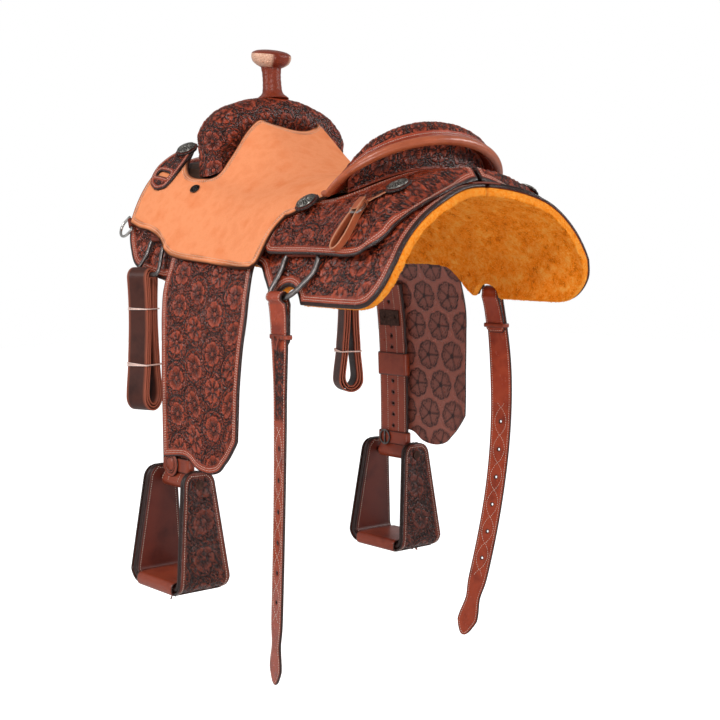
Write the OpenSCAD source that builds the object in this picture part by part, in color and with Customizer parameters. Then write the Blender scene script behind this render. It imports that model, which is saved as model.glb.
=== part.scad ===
// Western ranch saddle: tree, leathers, rigging, fenders, stirrups and billets.
// +Y runs forward to the horn, +X to the off (right) side, +Z up. The origin is
// the crown of the lining's underside, where the saddle rests on the horse.

/* [Arch over the horse] */
// Half width of the arch at the top face of the skirts
arch_half_w = 228; // [220:1:236]
// Rise of that arch behind the seat
arch_rise = 185; // [178:1:192]
// Extra rise of the arch under the fork
wither_rise = 87; // [75:1:95]
// Length over which the arch climbs to the fork
wither_run = 300; // [280:5:320]

/* [Leather and lining] */
// Thickness of the skirts
skirt_t = 5; // [4:0.5:6]
// Thickness of the sheepskin lining
wool_t = 14; // [10:1:18]
// Thickness of the seat leather and the jockeys
jockey_t = 4.5; // [3.5:0.5:6]
// Thickness of a fender
fender_t = 5; // [4:0.5:6]
// Width of the stirrup leathers
leather_w = 74; // [64:1:78]
// Thickness of the doubled stirrup leathers
leather_t = 7; // [6:0.5:8]
// Gap between leathers that lie on each other
lay_gap = 0.8; // [0.7:0.1:1]
// Thickness of a plain strap
strap_t = 3.5; // [3:0.5:4]

/* [Tree] */
// Thickness of the bars at their middle
bar_t = 18; // [15:1:20]
// Width of the fork
fork_w = 313; // [300:2:320]
// Height of the fork's top above the origin
fork_top = 195; // [185:1:205]
// Where the fork stands along the saddle
fork_y = 183; // [180:1:186]
// Thickness of the fork from front to back
fork_d = 76; // [70:1:80]
// Thickness of the leather over the fork
cover_t = 3; // [2:0.5:4]
// Thickness of the cantle board
cantle_t = 14; // [10:1:16]

/* [Horn] */
// Height of the horn above the fork
horn_h = 82; // [70:1:95]
// Diameter of the horn's cap
horn_cap_d = 71; // [60:1:80]
// Diameter of the wrapped neck at its narrowest
horn_neck_d = 33; // [28:1:38]
// Diameter of the steel post
horn_post_d = 20; // [16:1:22]
// Tilt of the cap, front edge up
horn_tilt = 12; // [8:1:16]
// Lean of the horn towards the front
horn_lean = 4; // [0:1:6]

/* [Cantle] */
// Half width of the rim of the roll
rim_half_w = 176; // [170:1:182]
// Depth of the rim from its ends to its back
rim_depth = 90; // [84:1:96]
// Height of the rim at the centre
rim_top = 90; // [84:1:94]
// Width of the roll from the rim to its inner edge
roll_w = 49; // [44:1:54]
// Radius of the smooth binding round the rim
bind_r = 9; // [7:0.5:10]

/* [Rigging] */
// Thickness of the flat steel of the dees
dee_t = 5; // [4:0.5:6]
// Width of that flat steel
dee_bar = 9; // [7:1:10]
// Thickness of the leather wrapped round a dee's head
wrap_t = 1.8; // [1.5:0.1:2]
// Width of the rear dees at their head
dee_head = 92; // [86:1:98]
// Width of the rear dees at their foot
dee_foot = 66; // [62:1:70]
// Height of the rear dees
dee_h = 76; // [70:1:80]
// Width of the front dees at their head
front_head = 54; // [48:1:60]
// Width of the front dees at their foot
front_foot = 86; // [78:1:92]
// Height of the front dees
front_h = 70; // [68:1:76]
// Width of the billets and the latigo
billet_w = 44; // [38:1:48]
// Length of a rear billet from its dee to its tip
billet_len = 620; // [560:5:660]
// Distance between the holes of a billet
billet_pitch = 50; // [38:1:55]
// Diameter of the holes in billets and stirrup leathers
punch_d = 6; // [5:0.5:8]
// Length of the coiled latigo
hank_len = 246; // [220:5:270]
// Outer size of a breast-collar dee
ring_w = 40; // [34:1:46]
// Wire diameter of a breast-collar dee
ring_wire = 5; // [4:0.5:6]

/* [Fenders and stirrups] */
// Height of the fenders' lowest edge below the hinge
fender_drop = 345; // [320:5:370]
// Height of the stirrup bolt below the hinge
bolt_drop = 370; // [360:5:380]
// Diameter of the stirrup bolt
bolt_d = 10; // [8:0.5:12]
// Diameter of the roller that the leather turns round
roller_d = 16; // [14:1:18]
// Height of a stirrup from its tread to the bolt
stirrup_h = 168; // [155:1:175]
// Length of the tread between the stirrup's branches at the foot
tread_len = 132; // [126:1:140]
// Clear width between the branches at the top
neck_len = 98; // [94:1:104]
// Width of the tread, inner to outer side
tread_w = 100; // [92:1:106]
// Width of a branch at the top
branch_w = 60; // [54:1:66]
// Thickness of a stirrup's wall
stirrup_t = 9; // [7:0.5:11]
// Height of the sleeve that slides on a stirrup leather
sleeve_h = 44; // [36:1:52]
// Height of the hobble strap
hobble_h = 20; // [16:1:24]
// Running gap round pins and sliding pieces
run_gap = 0.5; // [0.4:0.1:0.8]

/* [Hidden] */
$fn = 48;

chestnut = [0.45, 0.20, 0.12];
dark_leather = [0.26, 0.15, 0.13];
suede = [0.86, 0.50, 0.32];
wool = [0.90, 0.52, 0.14];
steel = [0.55, 0.55, 0.56];
silver = [0.70, 0.69, 0.66];
wood = [0.72, 0.58, 0.40];

// The arch: a half ellipse across the horse whose rise grows towards the fork.
wither_start = 20;
arch_z = -(arch_rise - skirt_t - lay_gap - wool_t);
wool_top = -(skirt_t + lay_gap);

function ease(u) = let (c = min(1, max(0, u))) c * c * (3 - 2 * c);
function mix(a, b, f) = a + (b - a) * f;
function rise_at(y) = arch_rise + wither_rise * ease((y - wither_start) / wither_run);

// Point on the near side of the arch: t degrees from the crown, o outside the skirts' top face.
function on_arch(y, t, o) =
  [-(arch_half_w + o) * sin(t), y, arch_z + (rise_at(y) + o) * cos(t)];
// Height of that surface at a place given by x and y.
function arch_height(x, y, o) =
  arch_z + (rise_at(y) + o) * sqrt(max(0, 1 - pow(x / (arch_half_w + o), 2)));
// Angle from the crown of the surface point at x, and the lean of its normal.
function lean_at(y, t) = atan(rise_at(y) / arch_half_w * tan(t));
// Tilt of that normal towards the back where the arch climbs to the fork.
function climb_rate(y) = let (u = min(1, max(0, (y - wither_start) / wither_run)))
  wither_rise / wither_run * 6 * u * (1 - u);
function pitch_at(y, t) = let (c = arch_half_w * cos(t), s = climb_rate(y) * cos(t))
  asin(s * c / norm([rise_at(y) * sin(t), s * c, c]));

// Height of the leathers over the skirts: low at their edge, high over the bars.
fender_room = 16;
rigging_room = 11;
seat_lift = bar_t + 10;
jockey_lift = bar_t + 4;
function lift(t, low, high) = low + (high - low) * ease((62 - abs(t)) / 24);
function seat_under(t) = lift(t, fender_room, seat_lift);
// Behind the bars the jockeys come down on the skirts.
function jockey_under(t, y) = mix(lay_gap, lift(t, rigging_room, jockey_lift), ease((y + 352) / 22));

// A closed leather sheet from two grids of points of equal size; keep tells which cells exist.
module sheet(top, under, keep) {
  n = len(top);
  m = len(top[0]);
  k = n * m;
  function cell(i, j) = i >= 0 && j >= 0 && i < n - 1 && j < m - 1 && keep[i][j];
  faces = [for (i = [0:n - 2]) for (j = [0:m - 2]) if (cell(i, j))
    let (a = i * m + j, b = a + 1, c = a + m, d = c + 1)
    each concat(
      [[a, c, b], [b, c, d], [a + k, b + k, c + k], [b + k, d + k, c + k]],
      cell(i - 1, j) ? [] : [[a, b, a + k], [b, b + k, a + k]],
      cell(i + 1, j) ? [] : [[c, c + k, d], [d, c + k, d + k]],
      cell(i, j - 1) ? [] : [[a, a + k, c], [c, a + k, c + k]],
      cell(i, j + 1) ? [] : [[b, d, b + k], [d, d + k, b + k]])];
  polyhedron([for (row = top) each row, for (row = under) each row], faces);
}
function all_cells(n, m) = [for (i = [0:n - 2]) [for (j = [0:m - 2]) true]];

// A closed solid swept through rings of equal size.
module sweep(rings) {
  n = len(rings);
  m = len(rings[0]);
  side = [for (i = [0:n - 2]) for (j = [0:m - 1])
    let (a = i * m + j, b = i * m + (j + 1) % m)
    each [[a, b, a + m], [b, b + m, a + m]]];
  ends = [for (j = [1:m - 2]) each [[0, j + 1, j], [(n - 1) * m, (n - 1) * m + j, (n - 1) * m + j + 1]]];
  polyhedron([for (r = rings) each r], concat(side, ends));
}
module off_side() {
  mirror([1, 0, 0]) children();
}
module both_sides() {
  children();
  off_side() children();
}
module on_surface(y, t, o) {
  translate(on_arch(y, t, o)) rotate([pitch_at(y, t), -lean_at(y, t), 0]) children();
}

// ---- Skirts and sheepskin -------------------------------------------------
// Rows from the front: [place along the saddle, inner angle, outer angle].
skirt_rows = [[352, 38, 62], [340, 26, 67.5], [326, 20, 72], [307, 18, 77], [281, 16, 79.5], [240, 15, 81],
  [195, 15, 82], [155, 15, 77], [110, 15, 71], [0, 15, 69], [-66, 15, 71], [-92, 14, 78], [-114, 13, 86],
  [-140, 12, 89], [-210, 8, 89.6], [-290, 2, 90], [-330, 1.2, 89.6], [-356, 1.2, 86], [-378, 1.2, 78],
  [-388, 1.2, 68]];
skirt_cols = 10;
cutout = [-157, -168];
cutout_r = 32;
function skirt_y(row, t) = row[0] + 26 * (1 - ease(t / 34)) * ease((-300 - row[0]) / 60);
function skirt_grid(o) = [for (row = skirt_rows) [for (j = [0:skirt_cols])
  let (t = mix(row[1], row[2], j / skirt_cols)) on_arch(skirt_y(row, t), t, o)]];
module skirt_sheet(top, under) {
  difference() {
    sheet(skirt_grid(top), skirt_grid(under), all_cells(len(skirt_rows), skirt_cols + 1));
    translate([-arch_half_w - 40, cutout[0], cutout[1]]) rotate([0, 90, 0]) cylinder(h = 90, r = cutout_r);
  }
}
module skirt_near() {
  color(chestnut) skirt_sheet(0, -skirt_t);
}
module skirt_off() {
  color(chestnut) off_side() skirt_sheet(0, -skirt_t);
}
module sheepskin_lining() {
  color(wool) both_sides() skirt_sheet(wool_top, wool_top - wool_t);
}
module skirt_tab() {
  y = skirt_y(skirt_rows[len(skirt_rows) - 1], 0);
  angles = [-7.5, -2.5, 2.5, 7.5];
  function row(dy, o) = [for (t = angles) on_arch(y + dy, -t, lay_gap + o)];
  color(chestnut) sheet([row(1, 2.5), row(11, 2.5)], [row(1, 0), row(11, 0)], all_cells(2, 4));
}

// ---- Tree ----------------------------------------------------------------
bar_rows = [[294, 30, 50], [281, 26, 53], [240, 21, 57], [195, 20, 58], [155, 20, 58], [110, 20, 58], [0, 22, 58],
  [-114, 22, 58], [-210, 20, 58], [-270, 20, 54], [-300, 26, 48]];
function bar_top(f, y) = lay_gap + 4 + (bar_t - 4) * sin(180 * f) * min(1, (y + 340) / 95);
module tree_bars() {
  cols = 6;
  color(wood) both_sides() sheet(
    [for (r = bar_rows) [for (j = [0:cols]) on_arch(r[0], mix(r[1], r[2], j / cols), bar_top(j / cols, r[0]))]],
    [for (r = bar_rows) [for (j = [0:cols]) on_arch(r[0], mix(r[1], r[2], j / cols), lay_gap)]],
    all_cells(len(bar_rows), cols + 1));
}

// The fork: sections between an outer and a gullet line, given as shares of the fork's size.
fork_outer = [[0, 1], [0.27, 0.985], [0.53, 0.93], [0.74, 0.86], [0.9, 0.755], [0.99, 0.635], [0.985, 0.5],
  [0.95, 0.38], [0.935, 0.28]];
fork_gullet = [[0, 0.69], [0.17, 0.68], [0.33, 0.65], [0.45, 0.6], [0.53, 0.545], [0.57, 0.49], [0.59, 0.46],
  [0.6, 0.43], [0.62, 0.385]];
fork_side = 14;
function fork_pair(k) = let (h = fork_w / 2, s = k < 0 ? -1 : 1, a = fork_outer[abs(k)], b = fork_gullet[abs(k)])
  [[s * a[0] * h, a[1] * fork_top], [s * b[0] * h, b[1] * fork_top]];
function fork_ring(k, inset) = let (p = fork_pair(k), mid = (p[0] + p[1]) / 2, half = (p[0] - p[1]) / 2,
    len_half = norm(half), dir = half / len_half, depth = fork_d / 2 - abs(k) * 1.1)
  [for (i = [0:fork_side - 1]) let (a = 360 * i / fork_side, c = cos(a), s = sin(a),
      u = sign(c) * pow(abs(c), 0.75) * (len_half - inset), v = sign(s) * pow(abs(s), 0.75) * (depth - inset))
    [mid[0] + dir[0] * u, fork_y + v, mid[1] + dir[1] * u]];
fork_last = len(fork_outer) - 1;
post_hole_r = horn_post_d / 2 + run_gap;
module fork_body(inset) {
  sweep([for (k = [-fork_last:fork_last]) fork_ring(k, inset)]);
}
module fork() {
  color(wood) difference() {
    fork_body(cover_t + run_gap);
    at_horn(-34) cylinder(h = 60, r = post_hole_r);
  }
}
module swell_cover() {
  inside = [for (k = [-fork_last:fork_last]) fork_ring(k, cover_t)];
  function past(a, b) = [for (i = [0:fork_side - 1]) a[i] + (a[i] - b[i]) * 0.4];
  n = 2 * fork_last;
  color(chestnut) difference() {
    fork_body(0);
    sweep(concat([past(inside[0], inside[1])], inside, [past(inside[n], inside[n - 1])]));
    at_horn(-20) cylinder(h = 40, r = post_hole_r);
  }
}

// ---- Horn ----------------------------------------------------------------
cap_h = horn_h - 22;
disc_r = horn_cap_d / 2 - 5;
disc_t = 6;
module at_horn(h) {
  translate([0, fork_y, fork_top]) rotate([-horn_lean, 0, 0]) translate([0, 0, h]) children();
}
module at_cap() {
  at_horn(cap_h) rotate([horn_tilt, 0, 0]) children();
}
module horn_core() {
  color(steel) union() {
    at_horn(-33.5) cylinder(h = cap_h + 33.5 + 9, r = horn_post_d / 2);
    at_cap() translate([0, 0, 6]) cylinder(h = disc_t, r = disc_r);
  }
}
module horn_wrap() {
  foot_r = horn_neck_d / 2 + 9;
  neck_r = horn_neck_d / 2;
  inner = horn_post_d / 2 + run_gap;
  color(chestnut) at_horn(2.6) rotate_extrude() polygon([
    [inner, 0], [foot_r, 0], [neck_r + 4, 5], [neck_r + 1, 12], [neck_r, 24],
    [neck_r + 0.5, cap_h - 13], [neck_r + 1, cap_h - 8], [inner, cap_h - 8]]);
}
module horn_cap() {
  r = horn_cap_d / 2;
  hole = horn_post_d / 2 + 4;
  gap = 0.4;
  color(chestnut) at_cap() rotate_extrude() polygon([
    [hole, 1.5], [horn_neck_d / 2 + 3, 0], [r - 6, 1.5], [r - 1.5, 6], [r, 12], [r - 2, 19], [r - 10, 24], [0, 26],
    [0, 6 + disc_t + gap], [disc_r + gap, 6 + disc_t + gap], [disc_r + gap, 6 - gap], [hole, 6 - gap]]);
}

// ---- Seat ----------------------------------------------------------------
// Rise of the seat over the bars: a ramp up the fork, a dish, and the climb to the cantle.
seat_cols = 4;
wing_cols = 6;
ramp_h = 82;
function ramp(x, y) = ramp_h * ease((y + 30) / 190) * ease((150 - abs(x)) / 90) * (1 - ease((y - 150) / 60));
function dish(x, y) = -12 * ease((110 - abs(x)) / 110) * ease(1 - abs(y + 95) / 95);
rim_y = -195;
crest_half_w = rim_half_w - roll_w - 1.5;
function climb(x, y) = let (rho = norm([x / crest_half_w, min(0, y + 150) / 88]),
    a = atan2(abs(x), max(1, -1.45 * (y + 150))), high = rim_top - 25)
  high * max(0, 1 - pow(a / 64, 4)) * pow(min(1, rho), 3.2) * ease((-60 - y) / 90);
function seat_point(p, o) = let (t = p[1], q = on_arch(p[0], t, seat_under(t) + o))
  [q[0], q[1], q[2] + ramp(q[0], q[1]) + dish(q[0], q[1]) + climb(q[0], q[1])];

// Rows from the cantle: [y at the centre, y at the split, y at the outer edge, split angle, outer angle].
// The split is the edge of the seat proper; outside it lies the side jockey, in front of it the fork's slot.
seat_rows = [[-231, -179, 0, 28.2, 0], [-222, -178, 0, 34, 0], [-198, -174, 0, 39.2, 0], [-165, -146, 0, 44, 0],
  [-132, -106, -74, 49, 74.3], [-88, -62, -40, 44, 74.6], [-44, -20, 0, 38, 73.6], [0, 18, 50, 31, 72.5],
  [38, 52, 95, 24, 72.5], [70, 90, 130, 17, 72.7], [101, 127, 150, 12.7, 72.6], [0, 141, 165, 20.5, 72.3],
  [0, 149, 177, 27.5, 71.5], [0, 159, 188, 34.5, 70.5], [0, 185, 198, 38.3, 69], [0, 214, 218, 38.5, 66.5],
  [0, 240, 250, 34.5, 65], [0, 263, 285, 28, 64.6], [0, 285, 320, 22.5, 62.9]];
wing_start = 4;
ear_row = 10;
// How far the lobe's back edge and the front edge bow out of a straight line.
function wing_bow(i, f) = i == wing_start ? -2 - 34 * f * f * f * (1 - f) * 2.2 + 14 * sin(180 * f) * (1 - f)
  : (i == len(seat_rows) - 1 ? 14 * sin(180 * pow(f, 1.4)) * f : 0);
function seat_centre(i, j) = let (r = seat_rows[i], f = j / seat_cols)
  [r[1] + (r[0] - r[1]) * (1 - pow(f, max(2, 3.4 - i / 3))), r[3] * f];
function seat_wing(i, j) = let (r = seat_rows[i], f = j / wing_cols)
  [mix(r[1], r[2], f) + wing_bow(i, f), mix(r[3], r[4], f)];
function flip_point(p) = [-p[0], p[1], p[2]];
function seat_row(i, o) = let (
    wing = [for (j = [wing_cols:-1:1]) seat_point(seat_wing(i, j), o)],
    half = [for (j = [seat_cols:-1:1]) seat_point(seat_centre(i, j), o)])
  concat(wing, half, [seat_point(seat_centre(i, 0), o)],
    [for (j = [seat_cols - 1:-1:0]) flip_point(half[j])], [for (j = [wing_cols - 1:-1:0]) flip_point(wing[j])]);
// Cells from the front: the side jockeys in front of the ears, the whole seat between, its middle behind.
seat_last = len(seat_rows) - 1;
function seat_keep() = [for (i = [seat_last - 1:-1:0]) [for (j = [0:2 * (wing_cols + seat_cols) - 1])
  let (k = min(j, 2 * (wing_cols + seat_cols) - 1 - j)) k < wing_cols ? i >= wing_start : i < ear_row]];
module seat_leather() {
  color(suede) sheet(
    [for (i = [seat_last:-1:0]) seat_row(i, jockey_t)],
    [for (i = [seat_last:-1:0]) seat_row(i, 0)],
    seat_keep());
}
ground_t = 4;
module ground_seat() {
  side = 3;
  rows = [ear_row - 1:-1:3];
  function row(i, o) = let (half = [for (j = [side:-1:1]) seat_point(seat_centre(i, j), o)])
    concat(half, [seat_point(seat_centre(i, 0), o)], [for (j = [side - 1:-1:0]) flip_point(half[j])]);
  color(dark_leather) sheet([for (i = rows) row(i, -lay_gap)], [for (i = rows) row(i, -lay_gap - ground_t)],
    all_cells(ear_row - 3, 2 * side + 1));
}

// ---- Cantle --------------------------------------------------------------
roll_end = 96;
roll_steps = 16;
function rim_point(a, r) = [(rim_half_w + r) * sin(a), rim_y - (rim_depth + r) * cos(a)];
function rim_height(a) = mix(6, rim_top, max(0, cos(a)));
function roll_scale(a) = (0.55 + 0.45 * ease((roll_end - abs(a)) / 45)) * (1 - 0.12 * max(0, cos(a)));
// The roll's section: [distance in from the rim, height over it], drawn at full height.
roll_section = [[-7.2, 8], [-10, 20], [-16, 29], [-27, 35], [-40, 36], [-49, 31], [-48, 24], [-34, 16],
  [-20, 4], [-8.2, -3]];
roll_angles = [for (i = [0:roll_steps]) mix(-roll_end, roll_end, i / roll_steps)];
module cheyenne_roll() {
  color(chestnut) sweep([for (a = roll_angles) [for (p = roll_section)
    let (q = rim_point(a, p[0] * roll_w / 49)) [q[0], q[1], rim_height(a) + p[1] * roll_scale(a)]]]);
}
module roll_binding() {
  r = bind_r;
  color([0.55, 0.27, 0.17]) sweep([for (a = roll_angles) [for (k = [0:7])
    let (b = 360 * k / 8 + 22.5, s = roll_scale(a), q = rim_point(a, r * cos(b) * 0.85))
    [q[0], q[1], rim_height(a) + r * sin(b) * s]]]);
}
board_out = 23;
wall_angles = [for (i = [0:12]) mix(-78, 78, i / 12)];
function roll_floor(a, r) = rim_height(a) + lookup(r, [[-48, 25], [-34, 16], [-20, 4], [-9, -3]]) * roll_scale(a);
module cantle_wall(outer, thick, gap_under, gap_top) {
  function col(a, r) = let (q = rim_point(a, r), low = arch_height(q[0], q[1], jockey_lift + gap_under),
      high = max(low + 3, roll_floor(a, r) - gap_top)) [[q[0], q[1], high], [q[0], q[1], low]];
  sheet([for (a = wall_angles) col(a, -outer)], [for (a = wall_angles) col(a, -outer - thick)],
    all_cells(len(wall_angles), 2));
}
module cantle_cover() {
  color(chestnut) cantle_wall(board_out, cover_t, jockey_t + 0.2, 2);
}
module cantle_board() {
  color(wood) cantle_wall(board_out + cover_t + run_gap, cantle_t, -3.2, 2.4);
}

// ---- Rear jockeys --------------------------------------------------------
// Rows from the front: [y at the inner edge, y at the outer edge, inner angle, outer angle].
jockey_rows = [[-82, -82, 50.5, 66.2], [-128, -128, 49, 66.6], [-168, -168, 47, 66.6], [-205, -205, 37.5, 66.7],
  [-233, -228, 31, 66.9], [-251, -255, 21, 67.2], [-263, -290, 1, 67.6], [-300, -318, 1, 66.5], [-326, -334, 1, 63.5],
  [-346, -350, 1, 59.5]];
jockey_cols = 8;
function jockey_grid(o) = [for (i = [0:len(jockey_rows) - 1]) let (r = jockey_rows[i]) [for (j = [0:jockey_cols])
  let (f = j / jockey_cols, t = mix(r[2], r[3], f), bow = i == len(jockey_rows) - 1 ? -26 * pow(sin(180 * f), 2) : 0,
  y = mix(r[0], r[1], f) + bow) on_arch(y, t, jockey_under(t, y) + o)]];
module rear_jockeys() {
  color(chestnut) both_sides() sheet(jockey_grid(jockey_t), jockey_grid(0),
    all_cells(len(jockey_rows), jockey_cols + 1));
}

// ---- Conchos, rosettes, screws and latigo keepers -------------------------
rosette_r = 21;
rosette_t = 3;
concho_r = 17;
// [y, angle, height of the seat under the rosette]
rear_concho = [-314, 33, jockey_lift + jockey_t + lay_gap];
side_concho = [-146, 43.5, seat_lift + jockey_t - 0.4];
front_concho = [271, 29, seat_lift + jockey_t + 2 * lay_gap + strap_t];
concho_seats = [rear_concho, side_concho, front_concho];
module concho_at(c, o) {
  on_surface(c[0], c[1], c[2] + o) children();
}
module rosettes() {
  color(dark_leather) both_sides() for (c = concho_seats)
    concho_at(c, 0) linear_extrude(rosette_t) union() {
      circle(rosette_r - 2);
      for (k = [0:15]) rotate(k * 22.5) translate([rosette_r - 3.5, 0]) circle(3.5, $fn = 16);
    }
}
module conchos() {
  color(silver) both_sides() for (c = concho_seats)
    concho_at(c, rosette_t + 0.3) rotate_extrude() polygon([
      [0, 0], [concho_r, 0], [concho_r, 1.2], [concho_r - 2, 2.2], [concho_r * 0.6, 4.2], [0, 5.2]]);
}
screw = [171, 43.3];
module seat_screws() {
  color([0.12, 0.1, 0.1]) both_sides() on_surface(screw[0], screw[1], seat_under(screw[1]) + jockey_t + 1.2)
    rotate_extrude() polygon([[0, 0], [9, 0], [8.4, 2], [5, 3.2], [0, 3.6]]);
}
// Keeper: a teardrop that widens down to its slot.
keeper_rows = [[25, 11], [29.5, 17], [34, 26], [38.5, 32], [41.5, 33], [44.5, 31], [47.5, 24], [49.5, 12]];
module latigo_keepers() {
  y = 271;
  o = jockey_t + lay_gap;
  shares = [-1, -0.55, 0.55, 1];
  grid = function (h) [for (r = keeper_rows) [for (s = shares) seat_point([y + s * r[1], r[0]], o + h)]];
  keep = [for (i = [0:len(keeper_rows) - 2]) [for (j = [0:2]) !(i == 4 && j == 1)]];
  color(dark_leather) both_sides() sheet(grid(strap_t), grid(0), keep);
}

// ---- Rigging straps, dees, billets ----------------------------------------
// A dee turns on a round bar that lies in its leather just above the skirt: [y, z, radius of the bar].
head_r = 2.5;
head_gap = 0.4;
head_o = lay_gap + wrap_t + head_gap + head_r;
rear_pivot = [-178, -87];
front_pivot = [234, -62];
function angle_of_height(y, z, o) = acos((z - arch_z) / (rise_at(y) + o));
function pivot_at(p) = [-(arch_half_w + head_o) * sin(angle_of_height(p[0], p[1], head_o)), p[0], p[1]];
// A leather chape on the skirt under the jockeys, from the bars down to a dee's head.
module chape(y, half, from_t, to_t, bottom, thick) {
  rows = 4;
  function edge(i, s, o) = on_arch(y + s * half, mix(from_t, to_t, i / rows), bottom + o);
  sheet([for (i = [0:rows]) [for (s = [-1, 1]) edge(i, s, thick)]],
    [for (i = [0:rows]) [for (s = [-1, 1]) edge(i, s, 0)]],
    all_cells(rows + 1, 2));
}
module head_wrap(p, half) {
  o = head_r + head_gap;
  chape(p[0], half, 59.2, angle_of_height(p[0], p[1] + 1, head_o), lay_gap, wrap_t);
  translate(pivot_at(p)) across(2 * half) difference() {
    circle(o + wrap_t);
    circle(o);
  }
}
// Where the breast-collar dees lie on the skirts' front edge.
ring_seat = [344, 61.5];
ring_o = 5.4;
module at_ring() {
  on_surface(ring_seat[0], ring_seat[1], ring_o) rotate([0, 0, 45]) children();
}
module rigging_straps() {
  o = ring_wire / 2 + head_gap;
  color(dark_leather) both_sides() {
    head_wrap(rear_pivot, dee_head / 2 - 10);
    head_wrap(front_pivot, front_head / 2 - 9);
    at_ring() rotate([0, 90, 0]) linear_extrude(ring_w / 2, center = true) difference() {
      union() {
        circle(o + wrap_t);
        translate([ring_o - lay_gap - wrap_t, -14]) square([wrap_t, 14]);
      }
      circle(o);
    }
  }
}
module bar_loops() {
  color(dark_leather) both_sides() chape(hinge[1], leather_w / 2 - 9, 58.2, 70, lay_gap + 0.7, 3.2);
}

// A dee of flat steel with a round head, drawn with its head's bar along x at the origin.
module dee_outline(head, foot, h, shift, corner) {
  polygon([[-head / 2, 0], [head / 2, 0], [head / 2, -h * 0.35], [foot / 2 + shift, -h + corner],
    [foot / 2 + shift - corner, -h], [-foot / 2 + shift + corner, -h], [-foot / 2 + shift, -h + corner],
    [-head / 2, -h * 0.35]]);
}
module dee(head, foot, h, shift, bar) {
  linear_extrude(dee_t, center = true) difference() {
    dee_outline(head, foot, h, shift, 10);
    translate([0, 1]) dee_outline(head - 2 * bar, foot - 2 * bar + 6, h - bar + 1, shift, 6);
  }
  rotate([0, 90, 0]) cylinder(h = head - bar, r = head_r, center = true);
}
// Stands a drawing in the side plane: its x runs along the saddle, its y up, leaning out by lean.
module hang(place, lean) {
  translate(place) rotate([0, lean, 0]) rotate([90, 0, 90]) children();
}
rear_lean = 21;
front_lean = 19;
rear_shift = 31;
front_shift = 6;
module rear_dee() {
  color(steel) hang(pivot_at(rear_pivot), rear_lean) dee(dee_head, dee_foot, dee_h, rear_shift, dee_bar);
}
module front_dee() {
  color(steel) hang(pivot_at(front_pivot), front_lean) dee(front_head, front_foot, front_h, front_shift, dee_bar - 1);
}
function foot_at(p, lean, h, shift, bar) = let (q = pivot_at(p), r = h - bar / 2)
  [q[0] - r * sin(lean), q[1] + shift, q[2] - r * cos(lean)];
rear_foot = foot_at(rear_pivot, rear_lean, dee_h, rear_shift, dee_bar);
front_foot_at = foot_at(front_pivot, front_lean, front_h, front_shift, dee_bar - 1);

// Breast-collar dee: round wire bent to a D whose straight bar lies in its chape.
module breast_dee() {
  r = (ring_w - ring_wire) / 2;
  wire = ring_wire / 2;
  color(steel) at_ring() union() {
    rotate([0, 90, 0]) cylinder(h = 2 * r, r = wire, center = true, $fn = 20);
    for (s = [-1, 1]) translate([s * r, 0, 0]) {
      rotate([-90, 0, 0]) cylinder(h = r * 0.7, r = wire, $fn = 20);
      sphere(wire, $fn = 20);
    }
    translate([0, r * 0.7, 0]) rotate_extrude(angle = 180) translate([r, 0]) circle(wire, $fn = 20);
  }
}

// Straps that hang: a ribbon of leather through a row of [place, half width, direction of its width].
module across(w) {
  rotate([90, 0, 0]) linear_extrude(w, center = true) children();
}
module ribbon(rows, thick) {
  function side(i) = let (a = rows[max(0, i - 1)][0], b = rows[min(len(rows) - 1, i + 1)][0],
    n = cross(b - a, rows[i][2])) n / norm(n);
  function edge(i, s, o) = rows[i][0] + s * rows[i][1] * rows[i][2] + o * side(i);
  sheet([for (i = [0:len(rows) - 1]) [for (s = [-1, 1]) edge(i, s, -thick / 2)]],
    [for (i = [0:len(rows) - 1]) [for (s = [-1, 1]) edge(i, s, thick / 2)]],
    all_cells(len(rows), 2));
}
billet_t = 6;
loop_r = norm([dee_bar, dee_t]) / 2 + 0.4;
// A billet bows out, swings back at its middle and forward at its tip.
billet_steps = 16;
function billet_at(f) = [rear_foot[0] + 1.8 - 13 * sin(180 * pow(f, 0.85)) + 22 * f * f,
  rear_foot[1] - 21 * sin(180 * pow(f, 0.8)) + 44 * f * f, rear_foot[2] - loop_r - 2 - f * billet_len];
function billet_half(f) = billet_w / 2 * (f < 0.03 ? 0.86 : 1)
  * (f > 0.93 ? 1.15 - pow((f - 0.93) / 0.07, 1.5) * 1.05 : (f > 0.86 ? 0.78 : 1));
function billet_turn(f) = let (a = 12 * ease(f * 4)) [sin(a), cos(a), 0];
module rear_billet() {
  rows = [for (i = [0:billet_steps]) let (f = i / billet_steps) [billet_at(f), billet_half(f), billet_turn(f)]];
  color(chestnut) difference() {
    union() {
      ribbon(rows, billet_t);
      translate(rear_foot) across(billet_w - 6) circle(loop_r + billet_t / 2);
    }
    translate(rear_foot) across(billet_w + 2) circle(loop_r);
    for (i = [0:5]) let (f = 0.36 + i * billet_pitch / billet_len)
      translate(billet_at(f)) rotate([0, 90, -12]) cylinder(h = 24, r = punch_d / 2, center = true);
  }
}

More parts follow.
